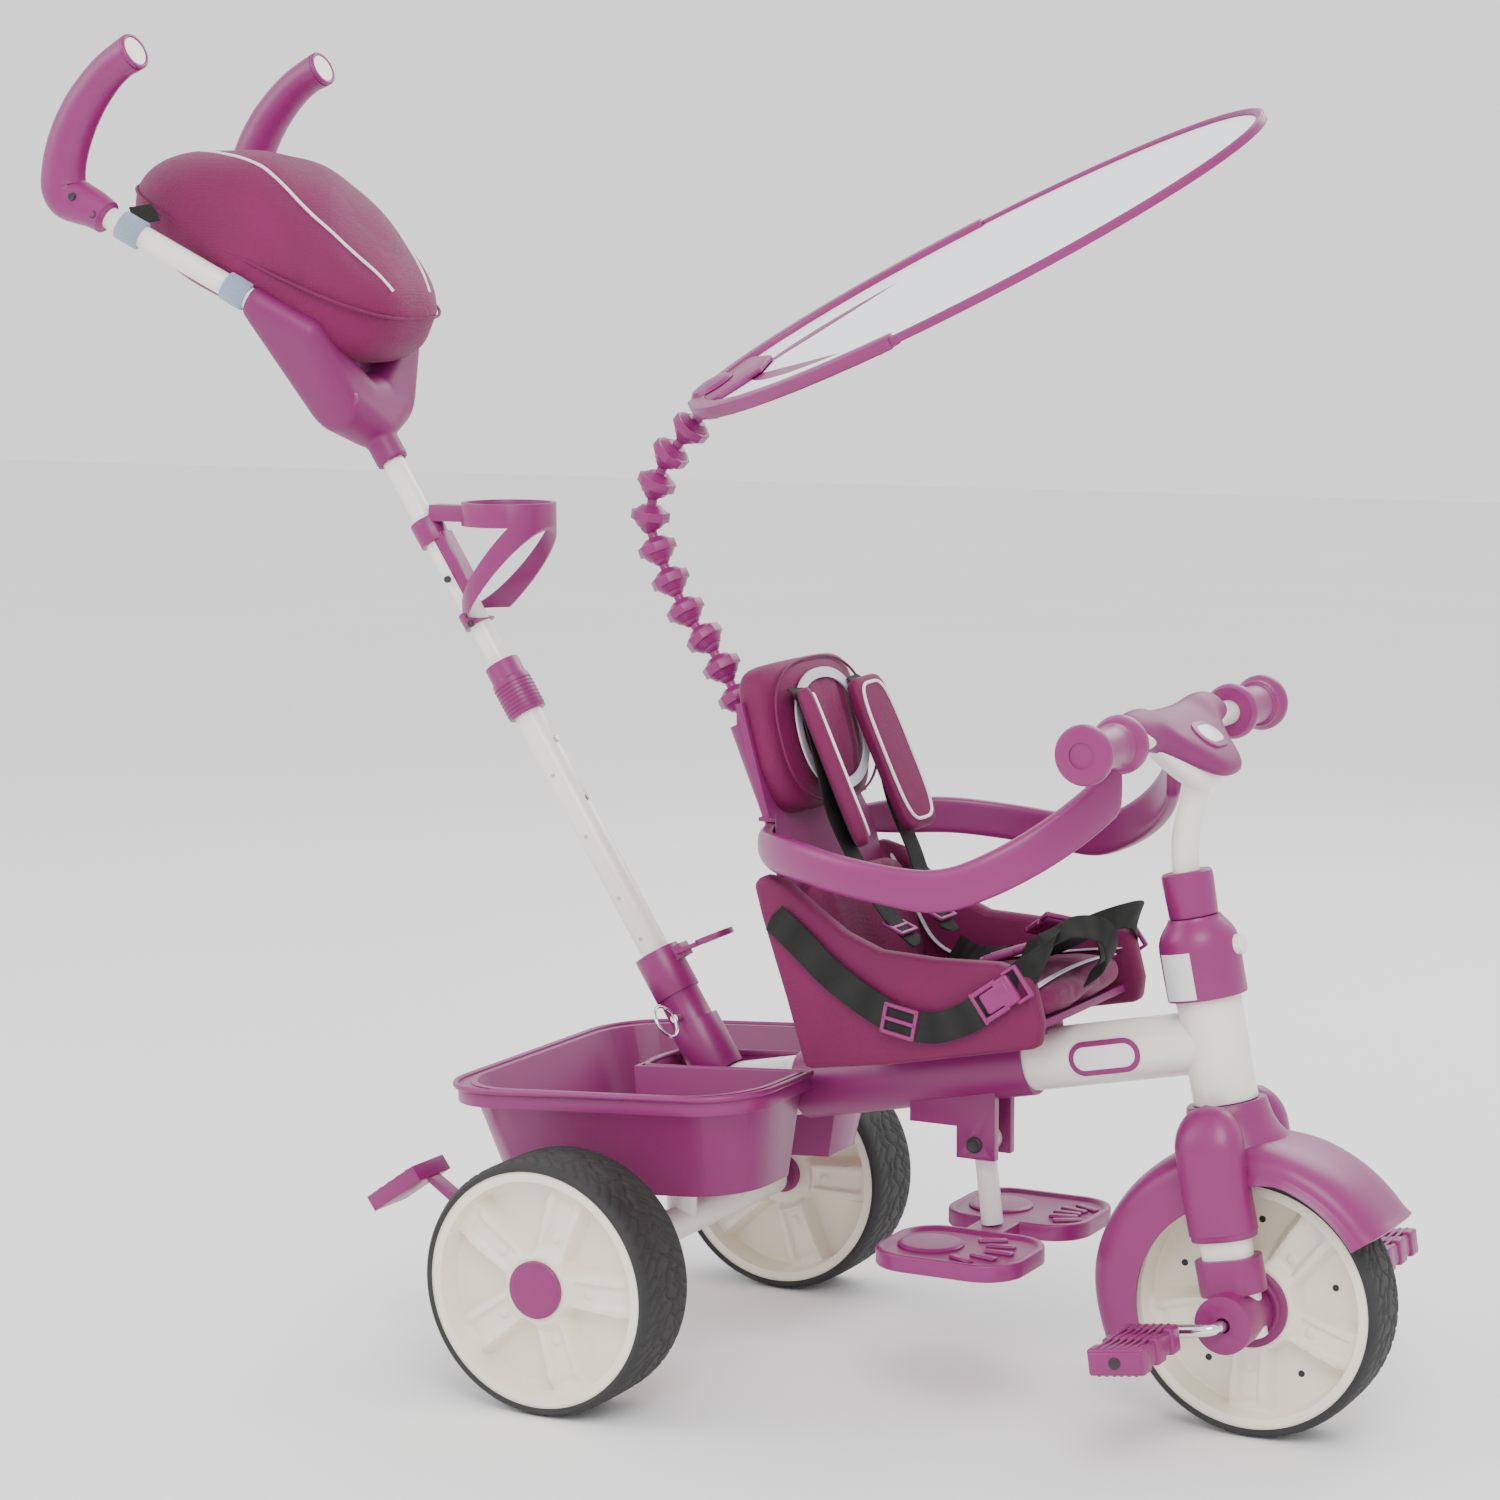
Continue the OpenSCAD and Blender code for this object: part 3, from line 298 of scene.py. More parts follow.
def gauze(name, colour):
    """The canopy's stretched cloth: fine mesh, pale, with broad soft tension ripples that carry painted shade
    in their hollows.
    """
    paint = Paint(name, Sheen_Weight=0.15, Specular_IOR_Level=0.4)
    mesh = paint.bands(190.0, "X") * paint.bands(190.0, "Y")
    pull = paint.noise(5.0, 2.0, (1, 3, 1))
    # The tension noise that bumps the cloth also darkens its colour a little in the ripple hollows: painted
    # shade.
    paint.feed("Base Color", paint.shade(0.5 * mesh + 0.5 * pull, tint(colour, 0.93), tint(colour, 1.04)))
    paint.feed("Roughness", 0.42 + 0.15 * pull)
    paint.relief(pull + 0.08 * mesh, 0.12, 0.003)
    return paint.material


FINISHES = {}


def finish(name):
    """A named material, made the first time that it is asked for."""
    if name not in FINISHES:
        hues = bpy.context.scene.trike_colours
        makers = {
            "plastic": lambda: moulded("plum_plastic", hues.plastic, 0.38, 0.12),
            # The plum plastic darkened to 0.86 with a rougher skin and no coat: a shaded copy of the same
            # plastic, painted shade.
            "shade_painted_plastic": lambda: moulded("plum_plastic_painted_shade", tint(hues.plastic, 0.86), 0.46),
            "rim_plastic": lambda: moulded("rim_plastic", hues.rim, 0.36, 0.15),
            "white_plastic": lambda: moulded("white_plastic", hues.paint, 0.33, 0.2),
            "dark_plastic": lambda: moulded("dark_plastic", (0.02, 0.02, 0.022), 0.5),
            "paint": lambda: enamel("cream_enamel", hues.paint),
            "chrome": lambda: plating("bright_plating", (0.80, 0.80, 0.82), 0.08),
            "steel": lambda: plating("zinc_plating", (0.55, 0.55, 0.57), 0.28),
            "rubber": lambda: tread_rubber("tyre_rubber"),
            "cloth": lambda: woven("plum_cloth", hues.cloth),
            # The bag takes the seat cloth colour made 1.15 times lighter: a lit copy of the same cloth, painted
            # light on the bag.
            "bag_fabric_painted_lighter": lambda: woven("plum_cloth_painted_lighter", tint(hues.cloth, 1.15), fold=0.6, sheen=0.06),
            "tape": lambda: woven("reflective_tape", (0.60, 0.62, 0.67), 420.0, 0.1),
            "cord": lambda: woven("white_piping", (0.85, 0.80, 0.83), 500.0, 0.1),
            "webbing": lambda: webbing("black_webbing", hues.webbing),
            "loop_tape": lambda: fleece("loop_tape", (0.22, 0.29, 0.40)),
            "gauze": lambda: gauze("canopy_gauze", hues.canopy),
            "label": lambda: moulded("blank_label", (0.74, 0.74, 0.74), 0.5),
            "badge": lambda: moulded("blank_badge", (0.84, 0.80, 0.83), 0.35, 0.3),
        }
        FINISHES[name] = makers[name]()
    return FINISHES[name]


# --- modelling steps ---
def start():
    if bpy.context.object and bpy.context.object.mode != "OBJECT":
        bpy.ops.object.mode_set(mode="OBJECT")
    bpy.ops.object.select_all(action="DESELECT")


def pick(*pieces):
    start()
    for piece in pieces:
        piece.select_set(True)
    bpy.context.view_layer.objects.active = pieces[0]


def settle(name):
    """Names the active object and puts its place into its mesh."""
    piece = bpy.context.object
    pick(piece)
    bpy.ops.object.transform_apply(location=True, rotation=True, scale=True)
    piece.name = piece.data.name = name
    return piece


def close_up(piece, gap=2e-5):
    """Merges seams and poles, and points every face outwards."""
    pick(piece)
    bpy.ops.object.mode_set(mode="EDIT")
    bpy.ops.mesh.select_all(action="SELECT")
    bpy.ops.mesh.remove_doubles(threshold=gap)
    bpy.ops.mesh.dissolve_degenerate(threshold=1e-6)
    bpy.ops.mesh.select_all(action="SELECT")
    bpy.ops.mesh.normals_make_consistent(inside=False)
    bpy.ops.object.mode_set(mode="OBJECT")
    return piece


def apply(piece, kind, **settings):
    pick(piece)
    modifier = piece.modifiers.new(kind.title(), kind)
    for key, value in settings.items():
        setattr(modifier, key, value)
    bpy.ops.object.modifier_apply(modifier=modifier.name)
    return piece


def soften_edges(piece, width, segments=3, angle=32):
    return apply(piece, "BEVEL", width=width * MM, segments=segments, limit_method="ANGLE",
                 angle_limit=radians(angle), use_clamp_overlap=True)


def wrapped(name, across, along, place):
    """A grid laid over place(u, v), with u across and v along from 0 to 1, sewn up where it meets."""
    start()
    bpy.ops.mesh.primitive_grid_add(x_subdivisions=across, y_subdivisions=along, size=2)
    piece = bpy.context.object
    for vertex in piece.data.vertices:
        vertex.co = place((vertex.co.x + 1) / 2, (vertex.co.y + 1) / 2)
    return close_up(settle(name))


def turned(name, section, where, steps=64):
    """A closed section of (radius, height) points in millimetres, spun round the z axis of a frame."""
    start()
    bpy.ops.mesh.primitive_circle_add(vertices=len(section), fill_type="NOTHING")
    piece = bpy.context.object
    for vertex, (radius, height) in zip(piece.data.vertices, section):
        vertex.co = (radius * MM, 0, height * MM)
    bpy.ops.object.mode_set(mode="EDIT")
    bpy.ops.mesh.select_all(action="SELECT")
    bpy.ops.mesh.spin(steps=steps, angle=2 * pi, center=(0, 0, 0), axis=(0, 0, 1))
    bpy.ops.object.mode_set(mode="OBJECT")
    piece.matrix_world = where
    return close_up(settle(name))


def block(name, where, centre, size, edge=2.0, segments=3):
    start()
    bpy.ops.mesh.primitive_cube_add(size=1)
    piece = bpy.context.object
    piece.matrix_world = where @ Matrix.Translation(Vector(centre) * MM) @ Matrix.Diagonal(
        (*[side * MM for side in size], 1))
    return soften_edges(settle(name), edge, segments)


def cut_out(name, where, outline, low, high, edge=1.0):
    """A flat outline of (x, y) millimetre points filled and pulled from height low to high."""
    start()
    bpy.ops.mesh.primitive_circle_add(vertices=len(outline), fill_type="NOTHING")
    piece = bpy.context.object
    for vertex, (x, y) in zip(piece.data.vertices, outline):
        vertex.co = (x * MM, y * MM, low * MM)
    bpy.ops.object.mode_set(mode="EDIT")
    bpy.ops.mesh.select_all(action="SELECT")
    bpy.ops.mesh.edge_face_add()
    bpy.ops.mesh.extrude_region_move(TRANSFORM_OT_translate={"value": (0, 0, (high - low) * MM)})
    bpy.ops.object.mode_set(mode="OBJECT")
    piece.matrix_world = where
    piece = close_up(settle(name))
    return soften_edges(piece, edge, 2) if edge else piece


def smooth_path(points, count):
    """Evenly numbered points on a smooth curve through the given ones."""
    padded = [2 * points[0] - points[1], *points, 2 * points[-1] - points[-2]]
    path = []
    for step in range(count + 1):
        place = step / count * (len(points) - 1)
        i = min(int(place), len(points) - 2)
        t = place - i
        p0, p1, p2, p3 = padded[i:i + 4]
        path.append(0.5 * (2 * p1 + (p2 - p0) * t + (2 * p0 - 5 * p1 + 4 * p2 - p3) * t ** 2
                           + (3 * p1 - p0 - 3 * p2 + p3) * t ** 3))
    return path


def bent_rod(name, points, radius, closed=False):
    """A round rod or piping along a path of points."""
    start()
    bpy.ops.curve.primitive_bezier_curve_add()
    curve = bpy.context.object
    data = curve.data
    data.splines.clear()
    spline = data.splines.new("POLY")
    spline.points.add(len(points) - 1)
    for target, point in zip(spline.points, points):
        target.co = (*point, 1)
    spline.use_cyclic_u = closed
    data.dimensions = "3D"
    data.bevel_depth = radius * MM
    data.bevel_resolution = 4
    data.use_fill_caps = not closed
    pick(curve)
    bpy.ops.object.convert(target="MESH")
    return close_up(settle(name), 1e-6)


def strap(name, points, width, side, thick=1.6, steps=60):
    """A flat strap along a path; side gives the direction of its width at a part of its length."""
    path = smooth_path(points, steps)

    def place(u, v):
        i = min(int(round(v * steps)), steps)
        ahead = (path[min(i + 1, steps)] - path[max(i - 1, 0)]).normalized()
        across = side(v)
        across = (across - ahead * across.dot(ahead)).normalized()
        up = ahead.cross(across)
        turn = 2 * pi * u
        squeeze = 0.02 if v in (0, 1) else 1
        flat = max(-1, min(1, 1.25 * cos(turn)))
        edge = max(-1, min(1, 1.6 * sin(turn)))
        return path[i] + squeeze * MM * (across * width / 2 * flat + up * thick / 2 * edge)

    return wrapped(name, 16, steps, place)


def pillow(name, where, half, corner=0.6, edge=0.35, shape=None, steps=(64, 40)):
    """A stuffed form with half sizes along x, y and z of a frame; shape(x, y, z) may push its points."""
    def place(u, v):
        turn, rise = 2 * pi * u, pi * (v - 0.5)
        level = signed_power(cos(rise), edge)
        point = Vector((half[0] * signed_power(cos(turn), corner) * level,
                        half[1] * signed_power(sin(turn), corner) * level,
                        half[2] * signed_power(sin(rise), edge)))
        if shape:
            point = Vector(shape(*point))
        return where @ (point * MM)
    return wrapped(name, steps[0], steps[1], place)


def cad_copy(node, name, edge=0.8, angle=32):
    """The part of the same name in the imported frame, with its loose faces joined and its edges rounded."""
    piece = bpy.data.objects.new(name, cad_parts[node].data.copy())
    bpy.context.scene.collection.objects.link(piece)
    piece.data.materials.clear()
    pick(piece)
    bpy.ops.object.mode_set(mode="EDIT")
    bpy.ops.mesh.select_all(action="SELECT")
    bpy.ops.mesh.remove_doubles(threshold=2e-6)
    bpy.ops.mesh.dissolve_limited(angle_limit=radians(0.6))
    bpy.ops.object.mode_set(mode="OBJECT")
    if edge:
        soften_edges(piece, edge, 2, angle)
    return piece


def draped(name, points, voxel, rounds):
    """A soft skin stretched over a cloud of points."""
    mesh = bpy.data.meshes.new(name)
    mesh.from_pydata(points, [], [])
    piece = bpy.data.objects.new(name, mesh)
    bpy.context.scene.collection.objects.link(piece)
    pick(piece)
    bpy.ops.object.mode_set(mode="EDIT")
    bpy.ops.mesh.select_all(action="SELECT")
    bpy.ops.mesh.convex_hull()
    bpy.ops.object.mode_set(mode="OBJECT")
    apply(piece, "REMESH", mode="VOXEL", voxel_size=voxel * MM)
    return apply(piece, "SMOOTH", factor=0.6, iterations=rounds)


def joined(name, pieces):
    pick(*pieces)
    if len(pieces) > 1:
        bpy.ops.object.join()
    piece = bpy.context.object
    piece.name = piece.data.name = name
    return piece


def mirrored(name, piece):
    """A copy of a piece on the other side of the tricycle."""
    pick(piece)
    bpy.ops.object.duplicate()
    bpy.context.object.scale = (1, -1, 1)
    other = settle(name)
    pick(other)
    bpy.ops.object.mode_set(mode="EDIT")
    bpy.ops.mesh.select_all(action="SELECT")
    bpy.ops.mesh.flip_normals()
    bpy.ops.object.mode_set(mode="OBJECT")
    return other


def dress(piece, body, look, replaces=(), smooth=38):
    """Gives a piece its finish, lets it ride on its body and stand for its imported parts."""
    piece.data.materials.clear()
    piece.data.materials.append(finish(look))
    pick(piece)
    bpy.ops.object.shade_smooth_by_angle(angle=radians(smooth))
    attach(piece, body)
    if replaces:
        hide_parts(*replaces)
    return piece


def dress_cad(node, name, look, body="frame", edge=0.8, angle=32):
    """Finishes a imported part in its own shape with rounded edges."""
    dress(cad_copy(node, name, edge, angle), body, look, [node])


def repaint(node, look):
    """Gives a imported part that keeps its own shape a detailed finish."""
    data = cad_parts[node].data
    data.materials.clear()
    data.materials.append(finish(look))


def swell(piece, pressure, cap, voxel=5.0):
    """Blows a padded piece up with cloth simulation, no further than cap millimetres anywhere."""
    apply(piece, "REMESH", mode="VOXEL", voxel_size=voxel * MM)
    rest = [vertex.co.copy() for vertex in piece.data.vertices]
    pick(piece)
    cloth = piece.modifiers.new("Cloth", "CLOTH")
    cloth.settings.use_pressure = True
    cloth.settings.uniform_pressure_force = pressure
    cloth.settings.effector_weights.gravity = 0
    scene = bpy.context.scene
    for number in range(1, 21):
        scene.frame_set(number)
    bpy.ops.object.modifier_apply(modifier=cloth.name)
    scene.frame_set(1)
    for vertex, home in zip(piece.data.vertices, rest):
        move = vertex.co - home
        if move.length > cap * MM:
            vertex.co = home + move.normalized() * cap * MM
    return apply(piece, "SUBSURF", levels=1, render_levels=1)


# --- sizes and colours ---
def colour(name, description, default):
    return FloatVectorProperty(name=name, description="Colour of " + description, subtype="COLOR", size=3,
                               min=0, max=1, default=default)


class TrikeColours(bpy.types.PropertyGroup):
    plastic: colour("Plastic", "the moulded parts", (0.215, 0.012, 0.118))
    cloth: colour("Cloth", "the seat covers and the bag", (0.150, 0.004, 0.060))
    paint: colour("Paint", "the painted tubes", (0.86, 0.83, 0.77))
    rim: colour("Rims", "the wheel rims", (0.86, 0.81, 0.66))
    canopy: colour("Canopy", "the canopy's cloth", (0.92, 0.94, 1.0))
    webbing: colour("Webbing", "the straps", (0.012, 0.013, 0.012))


def measure(name, description, low, high, default):
    return FloatProperty(name=name, description=description + " in millimetres", min=low, max=high,
                         default=default)


class TrikeSizes(bpy.types.PropertyGroup):
    spokes: IntProperty(name="Spokes", description="Raised spokes on each side of a wheel", min=3, max=9,
                        default=5)
    tread_depth: measure("Tread depth", "Depth of the tyre tread", 0.2, 3, 1.7)
    channel_depth: measure("Channel depth", "Depth of the stitched channels", 0, 6, 2.2)
    piping: measure("Piping", "Radius of the white piping", 0.4, 3, 1.5)
    strap_width: measure("Strap width", "Width of the harness straps", 12, 40, 25)


def sizes():
    return bpy.context.scene.trike_sizes


# --- wheels ---
def wheel_frame(centre, side):
    """Wheel axis as z, pointing outwards on the given side."""
    return Matrix.Translation(centre) @ Matrix.Rotation(radians(-90 * side), 4, "X")


def tyre(name, centre, radius, width):
    half = width / 2
    section = [(radius - 7.4, -half + 0.5), (radius - 4.6, -half), (radius - 2.4, -half + 2.2),
               (radius - 0.8, -half + 6)]
    tread = 24
    section += [(radius - 0.5 * (abs(2 * i / tread - 1)) ** 3, -half + 8 + (width - 16) * i / tread)
                for i in range(tread + 1)]
    section += [(r, -y) for r, y in reversed(section[:4])]
    section += [(radius - 8.0, half - 0.5), (radius - 8.0, -half + 0.5)]
    count = len(section) - 1
    depth = sizes().tread_depth
    where = wheel_frame(centre, -1)

    def place(u, v):
        r, y = section[min(count, int(round(v * count)))]
        turn = 2 * pi * u
        inside = abs(y) < half - 5 and r > radius - 3
        if inside:
            wave = 5.5 * sin(18 * turn) + 2.2 * sin(36 * turn + 1)
            groove = max(exp(-((y - wave) / 1.7) ** 2),
                         exp(-((abs(y) - 15 - 3 * sin(36 * turn)) / 1.5) ** 2))
            sipe = max(0, sin(54 * turn + 0.42 * abs(y))) ** 6 * (abs(y) > 5)
            r -= depth * max(groove, 0.8 * sipe)
        return where @ (Vector((r * cos(turn), r * sin(turn), y)) * MM)

    return wrapped(name, 540, count, place)


def step(value, low, high):
    t = max(0.0, min(1.0, (value - low) / (high - low)))
    return t * t * (3 - 2 * t)


def rim_face(name, centre, side, radius, half, boss, boss_height, turned_by):
    """One moulded side of a wheel: lip, sunken pockets and raised, hollowed spokes round a boss."""
    where = wheel_frame(centre, side)
    spokes = sizes().spokes
    rings = 64

    def height(r, turn):
        sector = 2 * pi / spokes
        off = (turn - turned_by + sector / 2) % sector - sector / 2
        across = abs(off) * r
        spoke_half = 12 + 0.07 * r
        spoke = 1 - step(across, spoke_half - 2.5, spoke_half + 4)
        spoke *= 1 - 0.25 * step(r, radius - 26, radius - 12)
        trough = (1 - step(across, 6.5, 9.5)) * step(r, boss + 8, boss + 13)
        trough *= 1 - step(r, radius - 20, radius - 13)
        rivet = (1 - step(hypot(r - boss - 20, off * r), 3.4, 4.4)) * 1.6
        pocket = half - 25
        value = pocket + 15.5 * spoke - 3.6 * trough + rivet
        collar = 1 - step(r, boss + 3, boss + 10)
        value = value * (1 - collar) + boss_height * collar
        lip = step(r, radius - 12, radius - 8.5)
        value = value * (1 - lip) + (half - 1.2) * lip
        return value - 1.6 * step(r, radius - 2.0, radius)

    def place(u, v):
        turn = 2 * pi * u
        r = boss * 0.2 + (radius - boss * 0.2) * v
        return where @ (Vector((r * cos(turn), r * sin(turn), height(r, turn))) * MM)

    return wrapped(name, 240, rings, place)


class TRIKE_OT_wheels(bpy.types.Operator):
    """Model the three wheels: treaded tyres, spoked rims and hub caps"""
    bl_idname = "trike.wheels"
    bl_label = "Wheels"

    def execute(self, context):
        for word, outward in SIDES:
            centre = at(REAR_FRAME, 0, 210 * outward, 0)
            body = "rear_wheel_" + word
            dress(tyre("rear_tread_" + word, centre, 104.5, 72), body, "rubber", ["rear_tyre_" + word], 50)
            faces = [rim_face("rim", centre, side, 97.1, 36, 24, 31 if side == outward else 20, 0)
                     for side in (1, -1)]
            barrel = turned("barrel", [(97.2, -34.6), (97.2, 34.6), (96.0, 34.6), (96.0, -34.6)],
                            wheel_frame(centre, 1), 96)
            dress(joined("rear_wheel_rim_" + word, faces + [barrel]), body, "rim_plastic",
                  ["rear_rim_" + word], 40)
            section = [(0, 30), (22.5, 30), (23.5, 31), (23.5, 34.2), (22.6, 35.0), (19, 35.4), (0, 35.4)]
            cap = turned("cap", section, wheel_frame(centre, outward))
            inner = turned("inner", [(5.4, 14), (17, 14), (17, 24), (15, 26), (5.4, 26)],
                           wheel_frame(centre, -outward))
            dress(joined("hub_cap_" + word, [cap, inner]), body, "plastic")
        dress(tyre("front_tread", FRONT, 106, 60), "front_wheel", "rubber", ["front_tyre"], 50)
        faces = [rim_face("rim", FRONT, side, 98.6, 30, 31, 26, radians(-20)) for side in (1, -1)]
        barrel = turned("barrel", [(98.7, -28.6), (98.7, 28.6), (97.5, 28.6), (97.5, -28.6)],
                        wheel_frame(FRONT, 1), 96)
        dress(joined("front_wheel_rim", faces + [barrel]), "front_wheel", "rim_plastic", ["front_rim"], 40)
        flanges = [turned("flange", [(6.1, 22), (31.5, 22), (32, 24), (32, 29.5), (30, 31), (27, 31), (25, 33),
                                     (6.1, 33)], wheel_frame(FRONT, side)) for side in (1, -1)]
        dress(joined("front_hub_flanges", flanges), "front_wheel", "shade_painted_plastic")
        # The drain holes are drawn as small dark discs on the rim pockets: painted shade where the open holes
        # are.
        holes = []
        for side in (1, -1):
            where = wheel_frame(FRONT, side)
            for number in range(5):
                turn = radians(16 + 72 * number)
                place = shifted(where, 66 * cos(turn), 66 * sin(turn), 5.2)
                holes.append(turned("hole", [(0, -2), (2.7, -2), (2.7, 0.3), (2.2, 0.5), (0, 0.2)], place, 20))
        dress(joined("rim_drain_hole_shade", holes), "front_wheel", "dark_plastic")
        return {"FINISHED"}


# --- frame ---
def pill(name, where, length, height, low, high, edge=0.5):
    """A plate with round ends, for a blank badge."""
    radius = height / 2
    outline = [(length / 2 - radius + radius * cos(radians(a)), radius * sin(radians(a)))
               for a in range(-90, 91, 10)]
    outline += [(-x, -y) for x, y in outline]
    return cut_out(name, where, outline, low, high, edge)


def screw(where, z, radius=3.6):
    """A sunken screw head with a dark recess."""
    section = [(0, -2), (radius, -2), (radius, 0.2), (radius - 0.8, 0.5), (radius - 1.6, 0.1), (0, -0.6)]
    return turned("screw", section, shifted(where, 0, 0, z), 24)


class TRIKE_OT_frame(bpy.types.Operator):
    """Finish the welded frame, axle, steering head, brackets and their blank labels"""
    bl_idname = "trike.frame"
    bl_label = "Frame"

    def execute(self, context):
        for node in ("main_tube", "head_tube", "rear_frame"):
            dress_cad(node, node + "_painted", "paint", edge=0.9)
        repaint("rear_axle", "steel")
        repaint("steering_bushes", "dark_plastic")
        dress_cad("lock_button", "steering_lock_button", "white_plastic", "lock_button", 1.6)
        dome = [(26.2, 0), (31.5, 0), (31.9, 1), (32.0, 40), (31.4, 46), (29.6, 51), (26.5, 56), (23.2, 60),
                (21.5, 62.5), (21, 63.8), (12, 63.8), (12, 60), (24, 54), (28.5, 42), (28.5, 3), (26.2, 3)]
        dress(turned("steering_head_cover", dome, shifted(HEAD, 0, 0, 244), 72), "frame", "plastic",
              ["head_cover"])
        dress_cad("tube_sleeve", "main_tube_sleeve", "plastic", edge=1.2)
        bracket = cad_copy("footrest_bracket", "bracket_body", 2.2)
        fins = [block("fin", Matrix.Translation((REAR.x + 0.283, 0, 0.2662)), (x, 0, 0), (7, 47, 6), 2)
                for x in (-40, -12, 12)]
        dress(joined("footrest_bracket_shell", [bracket] + fins), "frame", "plastic", ["footrest_bracket"])
        pivot = Matrix.Translation((REAR.x + 0.283, 0, tube_height(REAR.x + 0.283) - 0.0625))
        bolts = [turned("bolt", [(0, 20), (6.6, 20), (6.6, 21.4), (5.4, 22.2), (3.4, 21.0), (0, 21.0)],
                        pivot @ Matrix.Rotation(radians(90 * side), 4, "X"), 28) for side in (1, -1)]
        dress(joined("footrest_pivot_bolts", bolts), "footrest", "dark_plastic")
        plate = shifted(TUBE, -86, 0, 0, (90, "X"))
        dress(pill("tube_badge_border", plate, 62, 28, 24.2, 25.5), "frame", "plastic")
        dress(pill("tube_badge", plate, 53, 19, 25.0, 26.0), "frame", "badge")
        sleeve_plate = shifted(TUBE, -400, 0, 0, (90, "X"))

        def tube_label(u, v):
            turn = radians(62) * (2 * v - 1)
            return at(sleeve_plate, (u - 0.5) * 46, 25.25 * sin(turn), 25.25 * cos(turn))

        def head_label(u, v):
            turn = radians(-140 + 56 * u)
            return at(HEAD, 32.35 * cos(turn), 32.35 * sin(turn), 246 + 37 * v)
        for name, across, along, place in (("tube_label", 6, 16, tube_label),
                                           ("head_label", 14, 6, head_label)):
            label = apply(wrapped(name, across, along, place), "SOLIDIFY", thickness=0.3 * MM)
            dress(label, "frame", "label")
        return {"FINISHED"}


LEG_Y = 51


class TRIKE_OT_fork(bpy.types.Operator):
    """Model the fork with its bent stem, the axle housings, cranks and pedals"""
    bl_idname = "trike.fork"
    bl_label = "Fork, cranks and pedals"

    def execute(self, context):
        pieces = []
        for y in (-LEG_Y, LEG_Y):
            pieces.append(cut_out("leg", shifted(HEAD, 0, y, 0), oval(20.5, 13, 0.7, 0.7), -18, 142, 0.8))
        pieces.append(block("crown", HEAD, (0, 0, 145), (34, 106, 9), 3))
        stem = [at(HEAD, 0, 0, s) for s in (150, 300, 340)]
        stem += [at(HEAD, f, 0, s) for f, s in ((1.5, 358), (7, 378), (15, 396), (21, 412), (22.5, 428),
                                                (18.5, 443), (14, 456))]
        pieces.append(bent_rod("stem", smooth_path(stem, 60), 11))
        dress(joined("fork_and_stem", pieces), "steering", "paint", ["fork"])
        dress_cad("axle_housings", "axle_housing_shells", "plastic", "steering", 2.2)
        collar = [(11.2, 0), (19, 0), (19.6, 1.2), (19.9, 12), (20.6, 30), (20.2, 34.6), (18.6, 36), (11.2, 36)]
        dress(turned("stem_collar_cap", collar, shifted(HEAD, 0, 0, 308.3), 64), "steering", "plastic",
              ["stem_collar"])
        throw, rise = 45.46, 7
        arms = []
        for s in (-1, 1):
            route = ((0, 84, 0), (2, 92, 0.3), (9, 98.5, 1.4), (throw - 9, 99.5, rise - 1.4),
                     (throw - 2, 103, rise - 0.3), (throw, 110, rise), (throw, 188, rise))
            path = smooth_path([at(FRONT_FRAME, s * x, s * y, s * z) for x, y, z in route], 70)
            arms.append(bent_rod("arm", [FRONT] + path, 5.0))
        dress(joined("crank_rod", arms), "front_wheel", "chrome", ["crank"])
        for word, s in SIDES:
            where = shifted(FRONT_FRAME, s * throw, s * 154, s * rise, (-8, "Y"))
            parts = [block("core", where, (0, 0, 0), (42, 80, 17), 2.5)]
            for y in (-30, 0, 30):
                parts.append(block("band", where, (0, y, 0), (45.5, 17, 21), 2.2))
            for x in (-15, -9, -3, 3, 9, 15):
                for z in (-1, 1):
                    parts.append(block("rib", where, (x, 0, z * 10.4), (2.6, 74, 1.6), 0.6, 2))
            dress(joined("pedal_block_" + word, parts), "pedal_" + word, "plastic", ["pedal_" + word])
            section = [(0, 0), (4.6, 0), (4.6, 0.7), (3.4, 1.1), (2.2, 0.5), (0, 0.5)]
            end = shifted(where, 0, s * 40.2, 0, (-90 * s, "X"))
            dress(turned("pedal_end_screw_" + word, section, end, 28), "pedal_" + word, "dark_plastic")
        return {"FINISHED"}


